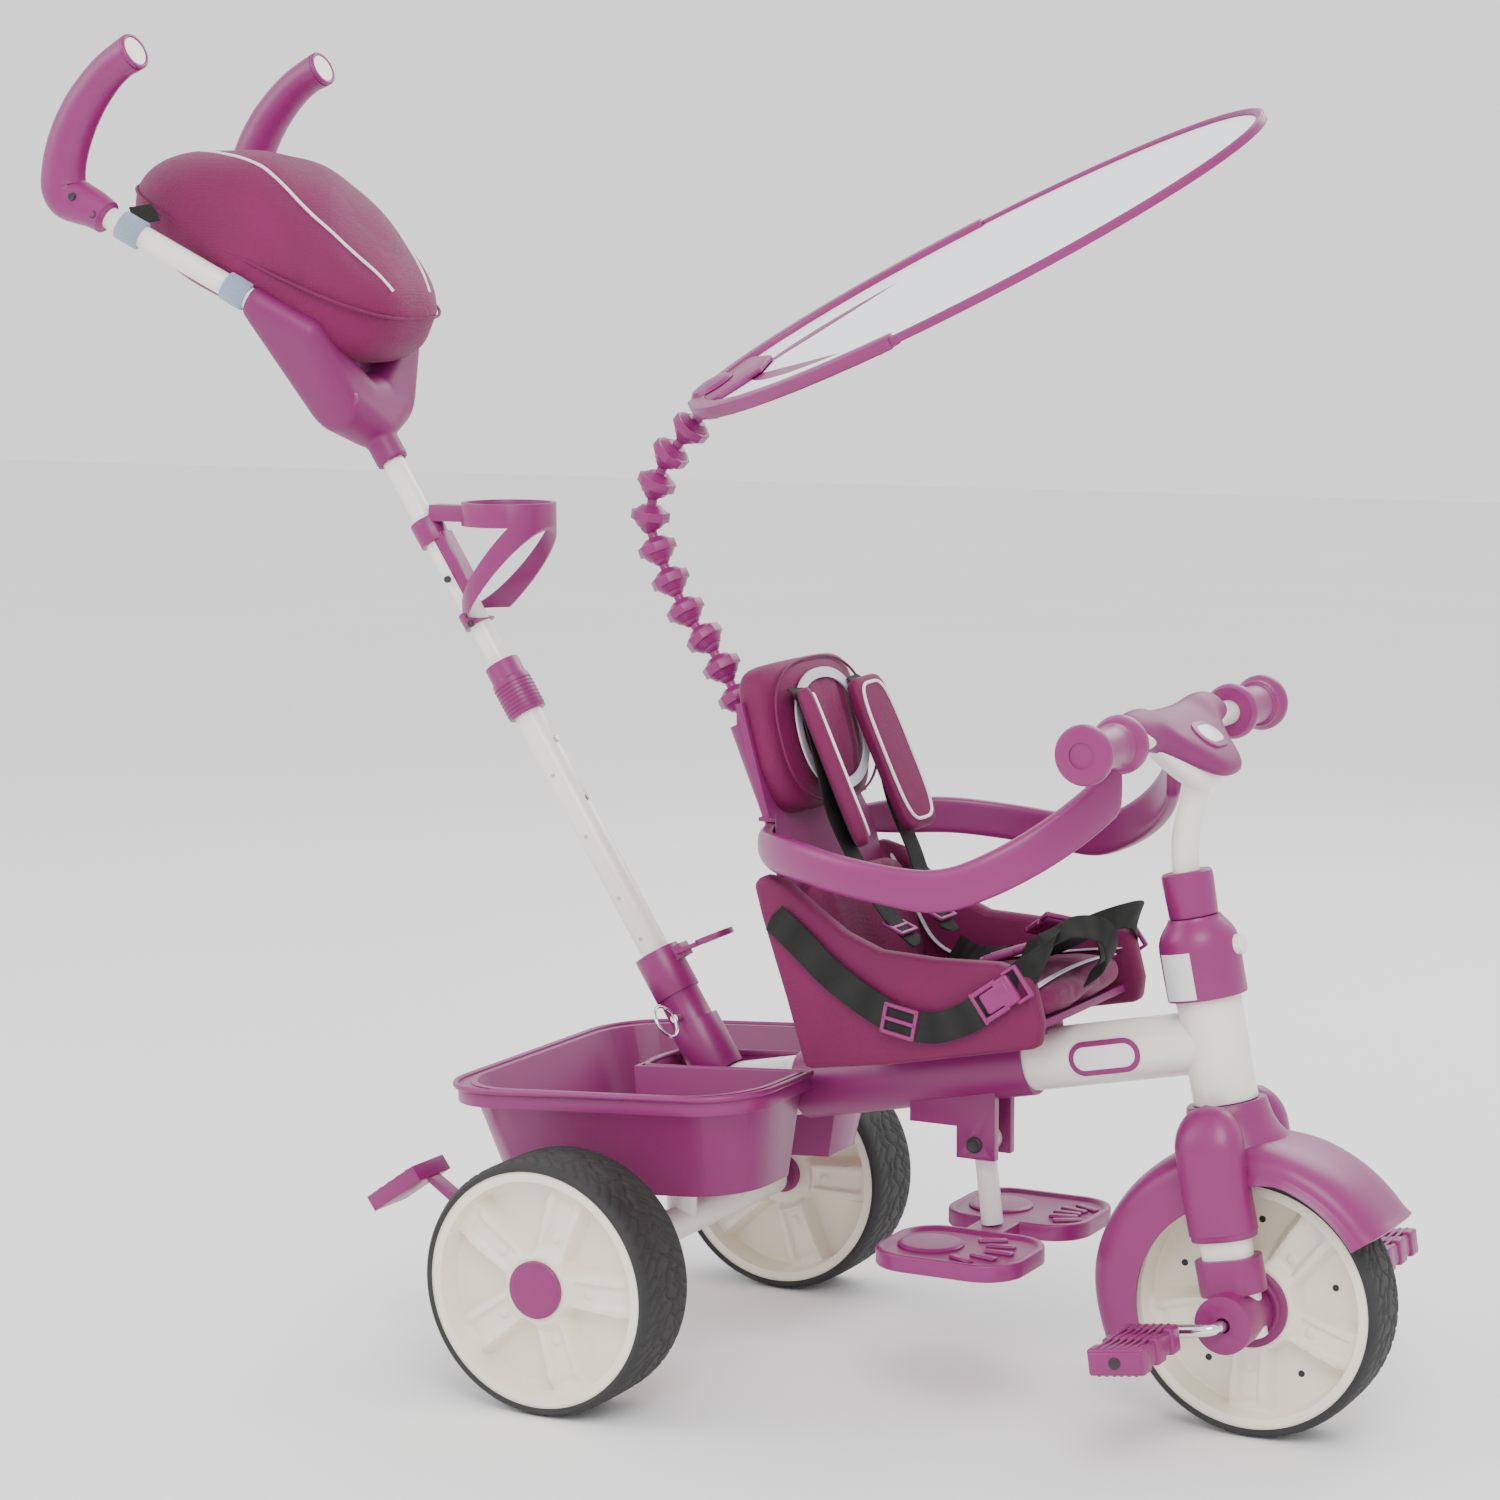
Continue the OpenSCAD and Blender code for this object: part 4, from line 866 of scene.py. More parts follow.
class TRIKE_OT_mudguard(bpy.types.Operator):
    """Model the front mudguard with its neck and leg covers"""
    bl_idname = "trike.mudguard"
    bl_label = "Front mudguard"

    def execute(self, context):
        low_turn, high_turn = radians(34), radians(199)

        def place(u, v):
            turn = high_turn + (low_turn - high_turn) * u
            ahead = 1 - step(turn, radians(70), radians(112))
            across = pi * v
            top = 132.5 + 1.5 * ahead - 6 * step(turn, radians(165), radians(199))
            skirt = 87 + 24 * ahead
            wide = 47.5 + 4.0 * ahead
            bend = 0.52 + 0.16 * ahead
            y = wide * signed_power(cos(across), bend)
            r = skirt + (top - skirt) * sin(across) ** bend
            edge = exp(-(min(v, 1 - v) / 0.022) ** 2)
            y += (1 if y > 0 else -1) * 3.6 * edge * (0.25 + ahead)
            tip = exp(-((turn - low_turn) / 0.035) ** 2)
            r += 3.2 * tip * sin(across)
            return at(FRONT_FRAME, r * cos(turn), y, r * sin(turn))

        shell = wrapped("arch", 96, 72, place)
        shell = apply(shell, "SOLIDIFY", thickness=3.2 * MM, offset=-1)
        neck_section = [(13, 117), (47, 117), (43.5, 128), (38.2, 136), (35.0, 144), (33.2, 152),
                        (32.2, 158.2), (31.2, 159.6), (13, 159.6)]
        neck = turned("neck", neck_section, HEAD, 72)
        covers = []
        for y in (-LEG_Y, LEG_Y):
            def bulge(u, v, y=y):
                turn = 2 * pi * u
                rise = 62 + 103 * v
                dome = (1 - max(0, (rise - 130) / 35) ** 2.4) ** 0.5 if rise > 130 else 1
                x = 27.5 * signed_power(cos(turn), 0.85) * dome
                deep = 19.5 * signed_power(sin(turn), 0.85) * dome
                inward = -7 * (1 if y > 0 else -1) * step(rise, 128, 165)
                if v == 0:
                    return at(HEAD, 0.86 * x, y + 0.86 * deep, rise + 4)
                return at(HEAD, x, y + deep + inward, rise)
            covers.append(wrapped("cover", 48, 26, bulge))
            cuff = oval(26.3055, 18.304, 0.8, 0.8)
            covers.append(cut_out("cuff", shifted(HEAD, 0, y, 0), cuff, 60.5, 76, 1.6))
        dress(joined("front_mudguard", [shell, neck] + covers), "steering", "plastic", ["fender"], 45)
        return {"FINISHED"}


class TRIKE_OT_handlebar(bpy.types.Operator):
    """Model the handlebar, its flanged grips and the two-part console with a blank badge"""
    bl_idname = "trike.handlebar"
    bl_label = "Handlebar"

    def execute(self, context):
        dress_cad("handlebar", "handlebar_rod", "paint", "steering")
        section = [(10.1, 0.6), (18, 0.2), (21.8, 1.6), (23, 4.2), (23, 8), (22, 10), (20.4, 12.2),
                   (18.6, 14.6), (18.6, 16.8), (17.4, 17.8), (17.4, 19.8), (15.9, 21), (15.4, 30), (15.4, 52),
                   (16.2, 60), (17.6, 63), (17.6, 65.2), (19.2, 66.6), (20.6, 69.2), (22.4, 73), (22.8, 76),
                   (22.4, 80), (20, 83.4), (10.1, 84)]
        end = [(0, 2.4), (12, 2.0), (16, 1.0), (18.2, 0.4), (18.4, 3), (0, 4)]
        grips = []
        for side in (1, -1):
            where = shifted(BAR_FRAME, 0, side * 197, 0, (90 * side, "X"))
            grips += [turned("grip", section, where, 64), turned("end", end, where, 48)]
        dress(joined("rubber_grips", grips), "steering", "plastic", ["handle_grips"])

        def shield(y, low, high):
            """Front edge of the console: a short sleeve round the bar and a rounded shield between."""
            return low + (high - low) * exp(-(abs(y) / 44) ** 3)

        def slab(u, v, span, reach, drop, thick):
            across = signed_power(-cos(pi * v), 0.7)
            end = (1 - abs(across) ** 9) ** 0.5
            y, turn = span * across, 2 * pi * u
            front = shield(y, 11, reach)
            long, lean = (front + 22) / 2, radians(36)
            along = long * signed_power(cos(turn), 0.8) * end
            off = thick(y) * signed_power(sin(turn), 0.8) * end
            x, z = front - long - drop(y) * sin(lean), 12 - 0.66 * (long - 6) - drop(y) * cos(lean)
            return at(BAR_FRAME, x + along * cos(lean) + off * sin(lean), y,
                      z - along * sin(lean) + off * cos(lean))

        def cover(u, v):
            return slab(u, v, 100, 56, lambda y: 0, lambda y: 10.2 + 4 * step(abs(y), 34, 60))

        def under(u, v):
            return slab(u, v, 80, 50, lambda y: 17 * exp(-(y / 52) ** 2),
                        lambda y: 4 + 13 * exp(-(y / 46) ** 2))

        dress(wrapped("console_top", 72, 72, cover), "steering", "shade_painted_plastic", ["console_cover"], 60)
        dress(wrapped("console_under", 72, 64, under), "steering", "white_plastic", ["console_base"], 60)
        plate = shifted(BAR_FRAME, 26.2, 0, -4.2, (36, "Y"), (90, "Z"))
        dress(pill("console_badge_border", plate, 42, 29, -3, 1.6, 0.6), "steering", "plastic")
        dress(pill("console_badge", plate, 32, 19, -2, 2.3, 0.5), "steering", "badge")
        return {"FINISHED"}


# --- seat, harness and safety ring ---
def channels(value, pitch):
    """Rows of stitched channels: 0 on the seams, 1 on the crowns between them."""
    return abs(sin(pi * value / pitch)) ** 0.5


class TRIKE_OT_seat(bpy.types.Operator):
    """Model the seat shell, its padded cover with piping, the head cushion and the shoulder pads"""
    bl_idname = "trike.seat"
    bl_label = "Seat and cushions"

    def execute(self, context):
        deep = sizes().channel_depth
        dress_cad("seat_shell", "seat_shell_moulding", "shade_painted_plastic", edge=1.2)

        def bench(x, y, z):
            inner = abs(y) < 62 and -78 < x < 84
            crown = 3.2 * (1 - (y / 92) ** 2) * (1 - (x / 99) ** 2) if z > 0 else 0
            if z > 0 and inner:
                crown += deep * channels(y, 25) - deep
            return (x + 103, y, z + crown + 19)
        base = pillow("seat_pad", PAN, (95, 95, 13.5), 0.35, 0.42, bench, (88, 56))
        dress(swell(base, 3.0, 5, 4.5), "frame", "cloth", ["seat_cushion"], 60)
        wings = []
        profile = [(-12, -9), (60, -13), (194, -13), (200, 6), (198, 44), (172, 57), (120, 66), (72, 78),
                   (44, 96), (20, 120), (0, 142), (-18, 151), (-29, 146), (-27, 118), (-18, 50)]
        for s in (-1, 1):
            wings.append(cut_out("wing", shifted(PAN, 0, s * 105, 0, (90, "X")), profile, -9.2, 9.2, 5.5))

        def quilt(x, y, z):
            crown = deep * channels(y, 22) if x >= 0 and abs(y) < 66 else 0
            return (x + 9.6 + crown, y, z + 86)
        backing = pillow("backing", SEAT, (10.5, 94, 52), 0.5, 0.4, quilt, (72, 40))
        cover = joined("seat_cover", wings + [backing])
        dress(cover, "frame", "cloth", (), 50)
        trims = []
        for s in (-1, 1):
            edge = ((190, 33.5), (150, 36.5), (100, 38), (60, 40), (34, 48), (17, 66), (7, 96), (0, 122),
                    (-6, 138))
            path = smooth_path([at(PAN, x, s * 94.5, z) for x, z in edge], 60)
            trims.append(strap("trim", path[::6], 7, lambda v: Vector((0, 1, 0)), 1.2, 60))
        front = [at(PAN, 186, y, 34.8 - 0.0006 * y * y) for y in range(-84, 85, 12)]
        trims.append(strap("trim", front, 7, lambda v: Vector((1, 0, 0.2)), 1.2, 40))
        dress(joined("seat_reflective_trim", trims), "frame", "tape", (), 50)

        def crown(x, y, z):
            front = x > 0
            radial = hypot(y / 60, z / 50)
            out = 3.5 * (1 - radial ** 2) if front and radial < 1 else 0
            if front and radial < 0.96:
                out += deep * (channels(y, 15) - 1)
            lower = max(0, -z - 20) / 43
            return (x + 3 + out - 3 * lower, y * (1 - 0.12 * lower), z + 254.5)
        head = pillow("head_cushion", SEAT, (22.6, 86, 62), 0.78, 0.36, crown, (96, 72))
        dress(head, "frame", "cloth", ["back_cushion"], 60)

        def band(u, v):
            turn = 2 * pi * u
            side = (0, 1, 1, 0, 0)[int(round(v * 4))]
            lift = (27.9, 27.9, 26.2, 26.2, 27.9)[int(round(v * 4))]
            y, z = 52 + 8.5 * side, 43 + 8.5 * side
            return at(SEAT, lift, y * signed_power(cos(turn), 0.9), 253 + z * signed_power(sin(turn), 0.9))
        dress(wrapped("head_cushion_tape", 96, 4, band), "frame", "tape", (), 40)
        seam = [at(SEAT, 22.5, y, 254.5 + z) for y, z in oval(83.5, 60, 0.78, 0.78, 80)]
        dress(bent_rod("head_cushion_seam", seam, 1.1, True), "frame", "cloth")
        for word, s in SIDES:
            lean = shifted(SEAT, 47, s * 55, 222, (-9, "Y"), (30 if s < 0 else -8, "Z"))
            pad = pillow("shoulder_pad_" + word, lean, (7.2, 24, 68), 0.5, 0.34, None, (56, 44))
            dress(pad, "frame", "cloth", ["shoulder_pads"] if s > 0 else (), 60)
            edge = [at(lean, 6.6, y, z) for y, z in oval(19.5, 61, 0.5, 0.55, 60)]
            dress(bent_rod("shoulder_piping_" + word, edge, sizes().piping, True), "frame", "cord")
        return {"FINISHED"}


def buckle(where, length, wide):
    """A side-release buckle: a waisted body, two spring arms and a bar for the strap."""
    parts = [block("body", where, (0, 0, 0), (length * 0.50, wide * 0.62, 7.5), 2.2),
             block("neck", where, (length * 0.18, 0, 0), (length * 0.3, wide * 0.86, 6.5), 2.2),
             block("bar", where, (length * 0.5, 0, 0), (3.6, wide, 4.6), 1.4)]
    for s in (-1, 1):
        parts.append(block("arm", where, (-length * 0.12, s * wide * 0.40, 0),
                           (length * 0.46, wide * 0.16, 6), 1.8))
        parts.append(block("rail", where, (length * 0.38, s * wide * 0.46, 0),
                           (length * 0.26, 2.8, 4.8), 1.2))
    parts.append(block("bar", where, (-length * 0.36, 0, 0), (3.6, wide, 5.0), 1.4))
    return joined("buckle", parts)


def adjuster(where, tall, wide=30):
    """A flat three-bar strap adjuster."""
    parts = [block("bar", where, (x, 0, 0), (3.4, wide, 3.4), 1.2) for x in (-tall / 2, 0, tall / 2)]
    parts += [block("side", where, (0, s * (wide / 2 - 1.5), 0), (tall + 3, 3.4, 3.4), 1.2) for s in (-1, 1)]
    return joined("adjuster", parts)


class TRIKE_OT_harness(bpy.types.Operator):
    """Model the harness: webbing, adjusters and buckles"""
    bl_idname = "trike.harness"
    bl_label = "Harness"

    def execute(self, context):
        wide = sizes().strap_width
        level = Vector((0, 1, 0))
        straps, clips = [], []

        def belt(points, where, across, s=1):
            path = [at(where, x, s * y, z) for x, y, z in points]
            straps.append(strap("belt", path, wide, across, 1.8, 70))
        for s in (-1, 1):
            belt([(28, 52, 292), (34, 53, 284), (38, 55, 262), (38.5, 55, 225), (38, 55, 190), (41, 54, 168),
                  (47, 52, 140), (53, 46, 112), (62, 39, 86), (74, 32, 66)], SEAT, lambda v: level, s)
            belt([(-14, 117.6, 118), (4, 118.6, 98), (30, 119.4, 66), (58, 119.6, 40), (84, 120, 22),
                  (112, 120.4, 14), (140, 120, 18), (160, 118.6, 26)], PAN, lambda v: Vector((0.45, 0, 1)), s)
            belt([(182, 116, 38), (200, 108, 52), (208, 92, 60), (203, 70, 62), (188, 48, 60), (168, 30, 54),
                  (150, 16, 51)], PAN, lambda v: Vector((0.15 + 0.6 * v, 0, 1)), s)
            belt([(40, 88, 52), (56, 78, 45), (78, 60, 44), (98, 42, 46), (112, 26, 50)], PAN,
                 lambda v: Vector((0.8, 0, 0.55)), s)
            clips.append(buckle(shifted(PAN, 171, s * 119.4, 32, (-24, "Y"), (90, "X")), 52, 28))
            clips.append(adjuster(shifted(PAN, 84, s * 121.4, 22, (-18, "Y"), (90, "X"), (50, "Z")), 22))
            clips.append(adjuster(shifted(SEAT, 63, s * 38, 84, (38, "Y")), 18))
        belt([(205, 0, 30), (215, 0, 40), (214, -6, 58), (196, -10, 66), (170, -8, 60), (150, 0, 53)], PAN,
             lambda v: level)
        belt([(208, -30, 26), (232, -34, 40), (238, -44, 62), (222, -62, 72), (198, -80, 66)], PAN,
             lambda v: Vector((0, 1, 0.5)))
        clips.append(buckle(shifted(PAN, 131, -4, 52, (-8, "Y"), (24, "Z")), 58, 36))
        clips.append(buckle(shifted(PAN, 150, 46, 64, (-30, "X"), (-40, "Z")), 46, 28))
        dress(joined("harness_webbing", straps), "frame", "webbing", ["harness"], 50)
        dress(joined("harness_buckles", clips), "frame", "plastic")
        return {"FINISHED"}


def ring_rise(a):
    if a > 120:
        return 0
    return -14 * (120 - a) / 45 if a > 75 else -14 + 70 * ((75 - a) / 49) ** 1.3


def ring_height(a):
    if a > 131:
        return 21 + 9 * step(155 - a, 0, 24)
    return 30 if a > 90 else 30 + 12 * (90 - a) / 64


class TRIKE_OT_safety_ring(bpy.types.Operator):
    """Model the two hinged arms of the safety ring and their bracket on the seat back"""
    bl_idname = "trike.safety_ring"
    bl_label = "Safety ring"

    def execute(self, context):
        def arm(u, v):
            a = 168 - 147 * v
            rise = sum(ring_rise(a + da) for da in (-6, -3, 0, 3, 6)) / 5
            tall = ring_height(a) / 2 + 0.3
            cap = 1 - 0.9 * (step(v, 0.992, 1) + step(-v, -0.006, 0))
            if v in (0, 1):
                cap = 0
            turn = 2 * pi * u
            out = 6.5 * signed_power(cos(turn), 0.55) * max(cap, 0.0)
            up = tall * signed_power(sin(turn), 0.5) * max(cap, 0.0)
            out -= 1.2 * (up / tall) ** 2
            r = 165 + out
            return at(RING_FRAME, r * cos(radians(a)), r * sin(radians(a)), rise + up)
        eye = turned("eye", [(5.1, -10.9), (9.8, -10.9), (11, -9.8), (11, 9.8), (9.8, 10.9), (5.1, 10.9)],
                     shifted(RING_FRAME, -161, 26, 0), 40)
        tongue = block("tongue", RING_FRAME, (-160.5, 32, 0), (10, 18, 20), 2.5)
        left = joined("safety_ring_left", [wrapped("arm", 40, 150, arm), eye, tongue])
        right = mirrored("safety_ring_right", left)
        for piece, node in ((left, "ring_arm_left"), (right, "ring_arm_right")):
            dress(piece, node, "plastic", [node], 50)
        dress_cad("ring_hub", "ring_hinge_bracket", "plastic")
        return {"FINISHED"}


# --- basket, canopy, pole and handle ---
class TRIKE_OT_basket(bpy.types.Operator):
    """Model the rear basket with its rolled rim, and the parking brake levers"""
    bl_idname = "trike.basket"
    bl_label = "Basket and brakes"

    def execute(self, context):
        tub = cad_copy("basket", "basket_tub", 1.4, 24)
        rim = shifted(REAR_FRAME, -4, 0, 141.5, (-3.9, "Y"))
        outline = []
        for cx, cy, low in ((90, 104, 0), (-90, 104, 90), (-90, -104, 180), (90, -104, 270)):
            outline += [(cx + 57.5 * cos(radians(low + a)), cy + 57.5 * sin(radians(low + a)))
                        for a in range(0, 91, 9)]
        notch = [(147.5, -38), (140, -37), (60, -37), (0, -37), (-8, -35), (-15, -26), (-18, -10)]
        notch += [(x, -y) for x, y in reversed(notch)]
        lip = bent_rod("lip", [at(rim, x, y, 0) for x, y in outline + notch], 2.6, True)
        dress(joined("basket_moulding", [tub, lip]), "frame", "plastic", ["basket"], 40)
        for word, s in SIDES:
            node = "brake_lever_" + word
            where = shifted(REAR_FRAME, -190, s * 130, 42, (-35, "Y"))
            parts = [cad_copy(node, "lever", 2.5)]
            parts += [block("rib", where, (x, 0, 7.2), (4.5, 34, 2.6), 1.1) for x in (-22, -11, 0, 11)]
            dress(joined("brake_pedal_" + word, parts), node, "plastic", [node])
        return {"FINISHED"}


class TRIKE_OT_footrest(bpy.types.Operator):
    """Model the folding footrest: painted post and two ribbed pads"""
    bl_idname = "trike.footrest"
    bl_label = "Footrest"

    def execute(self, context):
        dress_cad("footrest_post", "footrest_stem", "paint", "footrest")
        low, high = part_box("footrest_pads")
        top = Matrix.Translation(((low.x + high.x) / 2, 0, high.z))
        parts = [cad_copy("footrest_pads", "pads", 2.2)]
        section = [(0, 0), (25, 0), (27, 0.6), (27, 2.4), (25.6, 3.6), (22, 3.9), (0, 4.1)]
        for s in (-1, 1):
            for n in range(-2, 3):
                where = shifted(top, 20, s * 70, -2.2, (14 * s * n, "Z"))
                parts.append(block("rib", where, (14 - 2 * abs(n), -15 * n, 0), (24, 7.5, 3.2), 1.5))
            parts.append(turned("heel", section, shifted(top, -26, s * 70, -4.2), 48))
        dress(joined("footrest_treads", parts), "footrest", "plastic", ["footrest_pads"])
        return {"FINISHED"}


class TRIKE_OT_canopy(bpy.types.Operator):
    """Model the flexible neck and the leaf-shaped canopy with its frame and hem"""
    bl_idname = "trike.canopy"
    bl_label = "Neck and canopy"

    def execute(self, context):
        dress_cad("neck_post", "neck_foot", "plastic", edge=1.0)
        for number in range(1, 6):
            node = "neck_beads_%d" % number
            dress_cad(node, "neck_links_%d" % number, "plastic", node, 0.9, 20)
        edges = []
        for s in (-1, 1):
            outer, inner = [], []
            for t in range(0, 85, 7):
                c, d = cos(radians(t)), sin(radians(t))
                wide = 17 - 5 * t / 84
                outer.append((267.5 - 269.5 * c, s * 147 * d))
                inner.append((267.5 - (269.5 - wide) * c, s * (147 - wide) * d))
            edges.append(cut_out("edge", CANOPY, outer + inner[::-1], 4.6, 15.5, 1.6))
        plate = [(-4, -15), (26, -48), (40, -46), (70, -16), (70, 16), (40, 46), (26, 48), (-4, 15)]
        edges.append(cut_out("plate", CANOPY, plate, 9.6, 14.2, 1.4))
        cap = turned("cap", [(0, 14), (19, 14), (20, 15), (17, 18), (8, 20), (0, 20.4)],
                     shifted(CANOPY, 16, 0, 0), 40)
        fork = joined("canopy_fork", [cad_copy("canopy_frame", "hub", 1.4), cap] + edges)
        dress(fork, "canopy", "plastic", ["canopy_frame"], 40)

        def cloth(u, v):
            turn = pi * v
            along = 267.5 - 259.5 * cos(turn)
            half = 139 * sin(turn)
            across = 2 * u - 1
            sag = -3.0 * (1 - across ** 2) * sin(turn) ** 1.2
            return at(CANOPY, along, half * across, 10.4 + sag)
        sheet = apply(wrapped("canopy_cloth", 28, 64, cloth), "SOLIDIFY", thickness=0.8 * MM)
        dress(sheet, "canopy", "gauze", ["canopy_sheet"], 60)
        hem = [at(CANOPY, 267.5 - x, y, 11.5) for x, y in oval(264.5, 142, count=160)]
        dress(bent_rod("canopy_hem", hem, 2.4, True), "canopy", "plastic")
        return {"FINISHED"}


class TRIKE_OT_pole(bpy.types.Operator):
    """Finish the telescoping push pole, its socket, pin, flap, collar and bottle holder"""
    bl_idname = "trike.pole"
    bl_label = "Push pole"

    def execute(self, context):
        for node, name, look, edge, body in (
                ("pole_socket", "pole_socket_moulding", "plastic", 2.0, "frame"),
                ("lower_pole", "lower_pole_tube", "paint", 0.5, "frame"),
                ("pole_collar", "pole_collar_moulding", "plastic", 1.2, "frame"),
                ("upper_tube", "upper_pole_tube", "paint", 0.4, "upper_pole"),
                ("socket_cap", "socket_flap", "plastic", 0.9, "socket_cap"),
                ("cup_holder", "bottle_holder", "plastic", 1.2, "upper_pole")):
            dress_cad(node, name, look, body, edge)
        repaint("pole_button", "steel")
        repaint("pull_pin", "chrome")
        ridges = []
        for p in (374, 377.5, 381, 384.5, 388, 391.5, 395, 398.5):
            ridges.append(turned("ridge", [(16.6, -0.9), (17.5, -0.5), (17.5, 0.5), (16.6, 0.9)],
                                 shifted(POLE, 0, 0, p), 48))
        dress(joined("collar_ridges", ridges), "frame", "shade_painted_plastic")
        for name, places, out, radius, body, look in (
                ("bottle_holder_screws", (461, 505), 14.2, 3, "upper_pole", "dark_plastic"),
                ("pole_rivets", (150, 190, 250, 310), 12.7, 1.8, "frame", "steel")):
            heads = [screw(shifted(POLE, 0, 0, p, (90, "X")), out, radius) for p in places]
            dress(joined(name, heads), body, look)
        return {"FINISHED"}


GRIP_PATH = ((-486, 853), (-500, 861), (-515, 867), (-527, 872), (-532, 881), (-531, 897), (-526, 914),
             (-518, 931), (-507, 948), (-494, 963), (-480, 976), (-465, 986), (-450, 993))
GRIP_RADII = (14.6, 16.6, 18.6, 20, 20.4, 19.6, 19.2, 18.8, 18, 17, 16.2, 15.6, 16.6)


class TRIKE_OT_push_handle(bpy.types.Operator):
    """Model the yoke, its arms and the curved push grips"""
    bl_idname = "trike.push_handle"
    bl_label = "Push handle"

    def execute(self, context):
        rim = [(2 + x, z) for x, z in oval(25, 25, count=16)]
        halves = []
        for s in (-1, 1):
            foot, tip, turn = yoke_arm(s)
            cloud = [foot + (tip - foot) * share + turn @ Vector((x, y, 0)) * MM
                     for share in (-0.03, 0.27) for x, y in oval(13.5, 13.5, count=16)]
            cloud += [at(POLE, x, s * y, 684 + z) for y in (10, 46) for x, z in rim]
            halves.append(draped("yoke_arm", cloud, 2.4, 5))
        cloud = [at(POLE, x + across, y, z) for x, r, z in ((0, 17, 646), (2, 18, 664))
                 for across, y in oval(r, r, count=16)]
        cloud += [at(POLE, x, y, 684 + z) for y in (-46, 46) for x, z in rim]
        core = draped("core", cloud, 2.4, 5)
        section = [(10.1, 622), (13.4, 622), (14.4, 623), (14.4, 646), (13, 650), (10.1, 650)]
        neck = turned("neck", section, POLE, 48)
        yoke = joined("yoke_moulding", halves + [core, neck])
        apply(yoke, "REMESH", mode="VOXEL", voxel_size=2.4 * MM)
        apply(yoke, "SMOOTH", factor=0.5, iterations=3)
        dress(yoke, "upper_pole", "shade_painted_plastic", ["yoke"], 60)
        dress_cad("yoke_tubes", "yoke_arm_tubes", "paint", "upper_pole", 0.4)
        steps = 72
        path = smooth_path([at(REAR_FRAME, x, 0, z) for x, z in GRIP_PATH], steps)

        def grip(u, v):
            i = int(round(v * steps))
            ahead = (path[min(i + 1, steps)] - path[max(i - 1, 0)]).normalized()
            up = Vector((0, 1, 0)).cross(ahead)
            at_radius = v * (len(GRIP_RADII) - 1)
            k = min(int(at_radius), len(GRIP_RADII) - 2)
            r = GRIP_RADII[k] + (GRIP_RADII[k + 1] - GRIP_RADII[k]) * (at_radius - k)
            r *= 1 - 0.025 * exp(-((v - 0.62) / 0.006) ** 2)
            if v in (0, 1):
                r = 0.01
            turn = 2 * pi * u
            return path[i] + MM * (Vector((0, 0.9 * r * cos(turn) - 132.5 - 7 * v, 0)) + r * sin(turn) * up)
        right = wrapped("grip_right", 48, steps, grip)
        top = path[-1] + Vector((0, -0.1395, 0))
        face = Matrix.Translation(top) @ (path[-1] - path[-4]).to_track_quat("Z", "Y").to_matrix().to_4x4()
        disc = turned("disc", [(0, -1), (12.4, -1), (12.4, 1.2), (0, 1.6)], face, 40)
        section = [(12.6, -2), (15.6, -2), (16.2, -0.4), (15.6, 1.4), (13.6, 2.0), (12.6, 1.4)]
        lip = turned("lip", section, face, 48)
        right = joined("push_grip_right", [right, lip])
        left = mirrored("push_grip_left", right)
        dress(right, "upper_pole", "plastic", ["push_grips"], 60)
        dress(left, "upper_pole", "plastic", (), 60)
        dress(joined("push_grip_end_discs", [disc, mirrored("disc_left", disc)]), "upper_pole", "white_plastic")
        screws = []
        for x, z, y in ((-512, 872, -150.6), (-493, 857, -146.6), (-528, 886, -151)):
            for side in (1, -1):
                screws.append(screw(shifted(REAR_FRAME, x, side * y, z, (90 * side, "X")), -0.2))
        dress(joined("grip_screws", screws), "upper_pole", "dark_plastic")
        plate = shifted(POLE, 13, -47, 688, (90, "X"), (108, "Z"))
        dress(pill("yoke_badge_border", plate, 40, 20, -4, 1.4, 0.6), "upper_pole", "plastic")
        dress(pill("yoke_badge", plate, 33, 13, -3, 2.0, 0.4), "upper_pole", "badge")
        return {"FINISHED"}


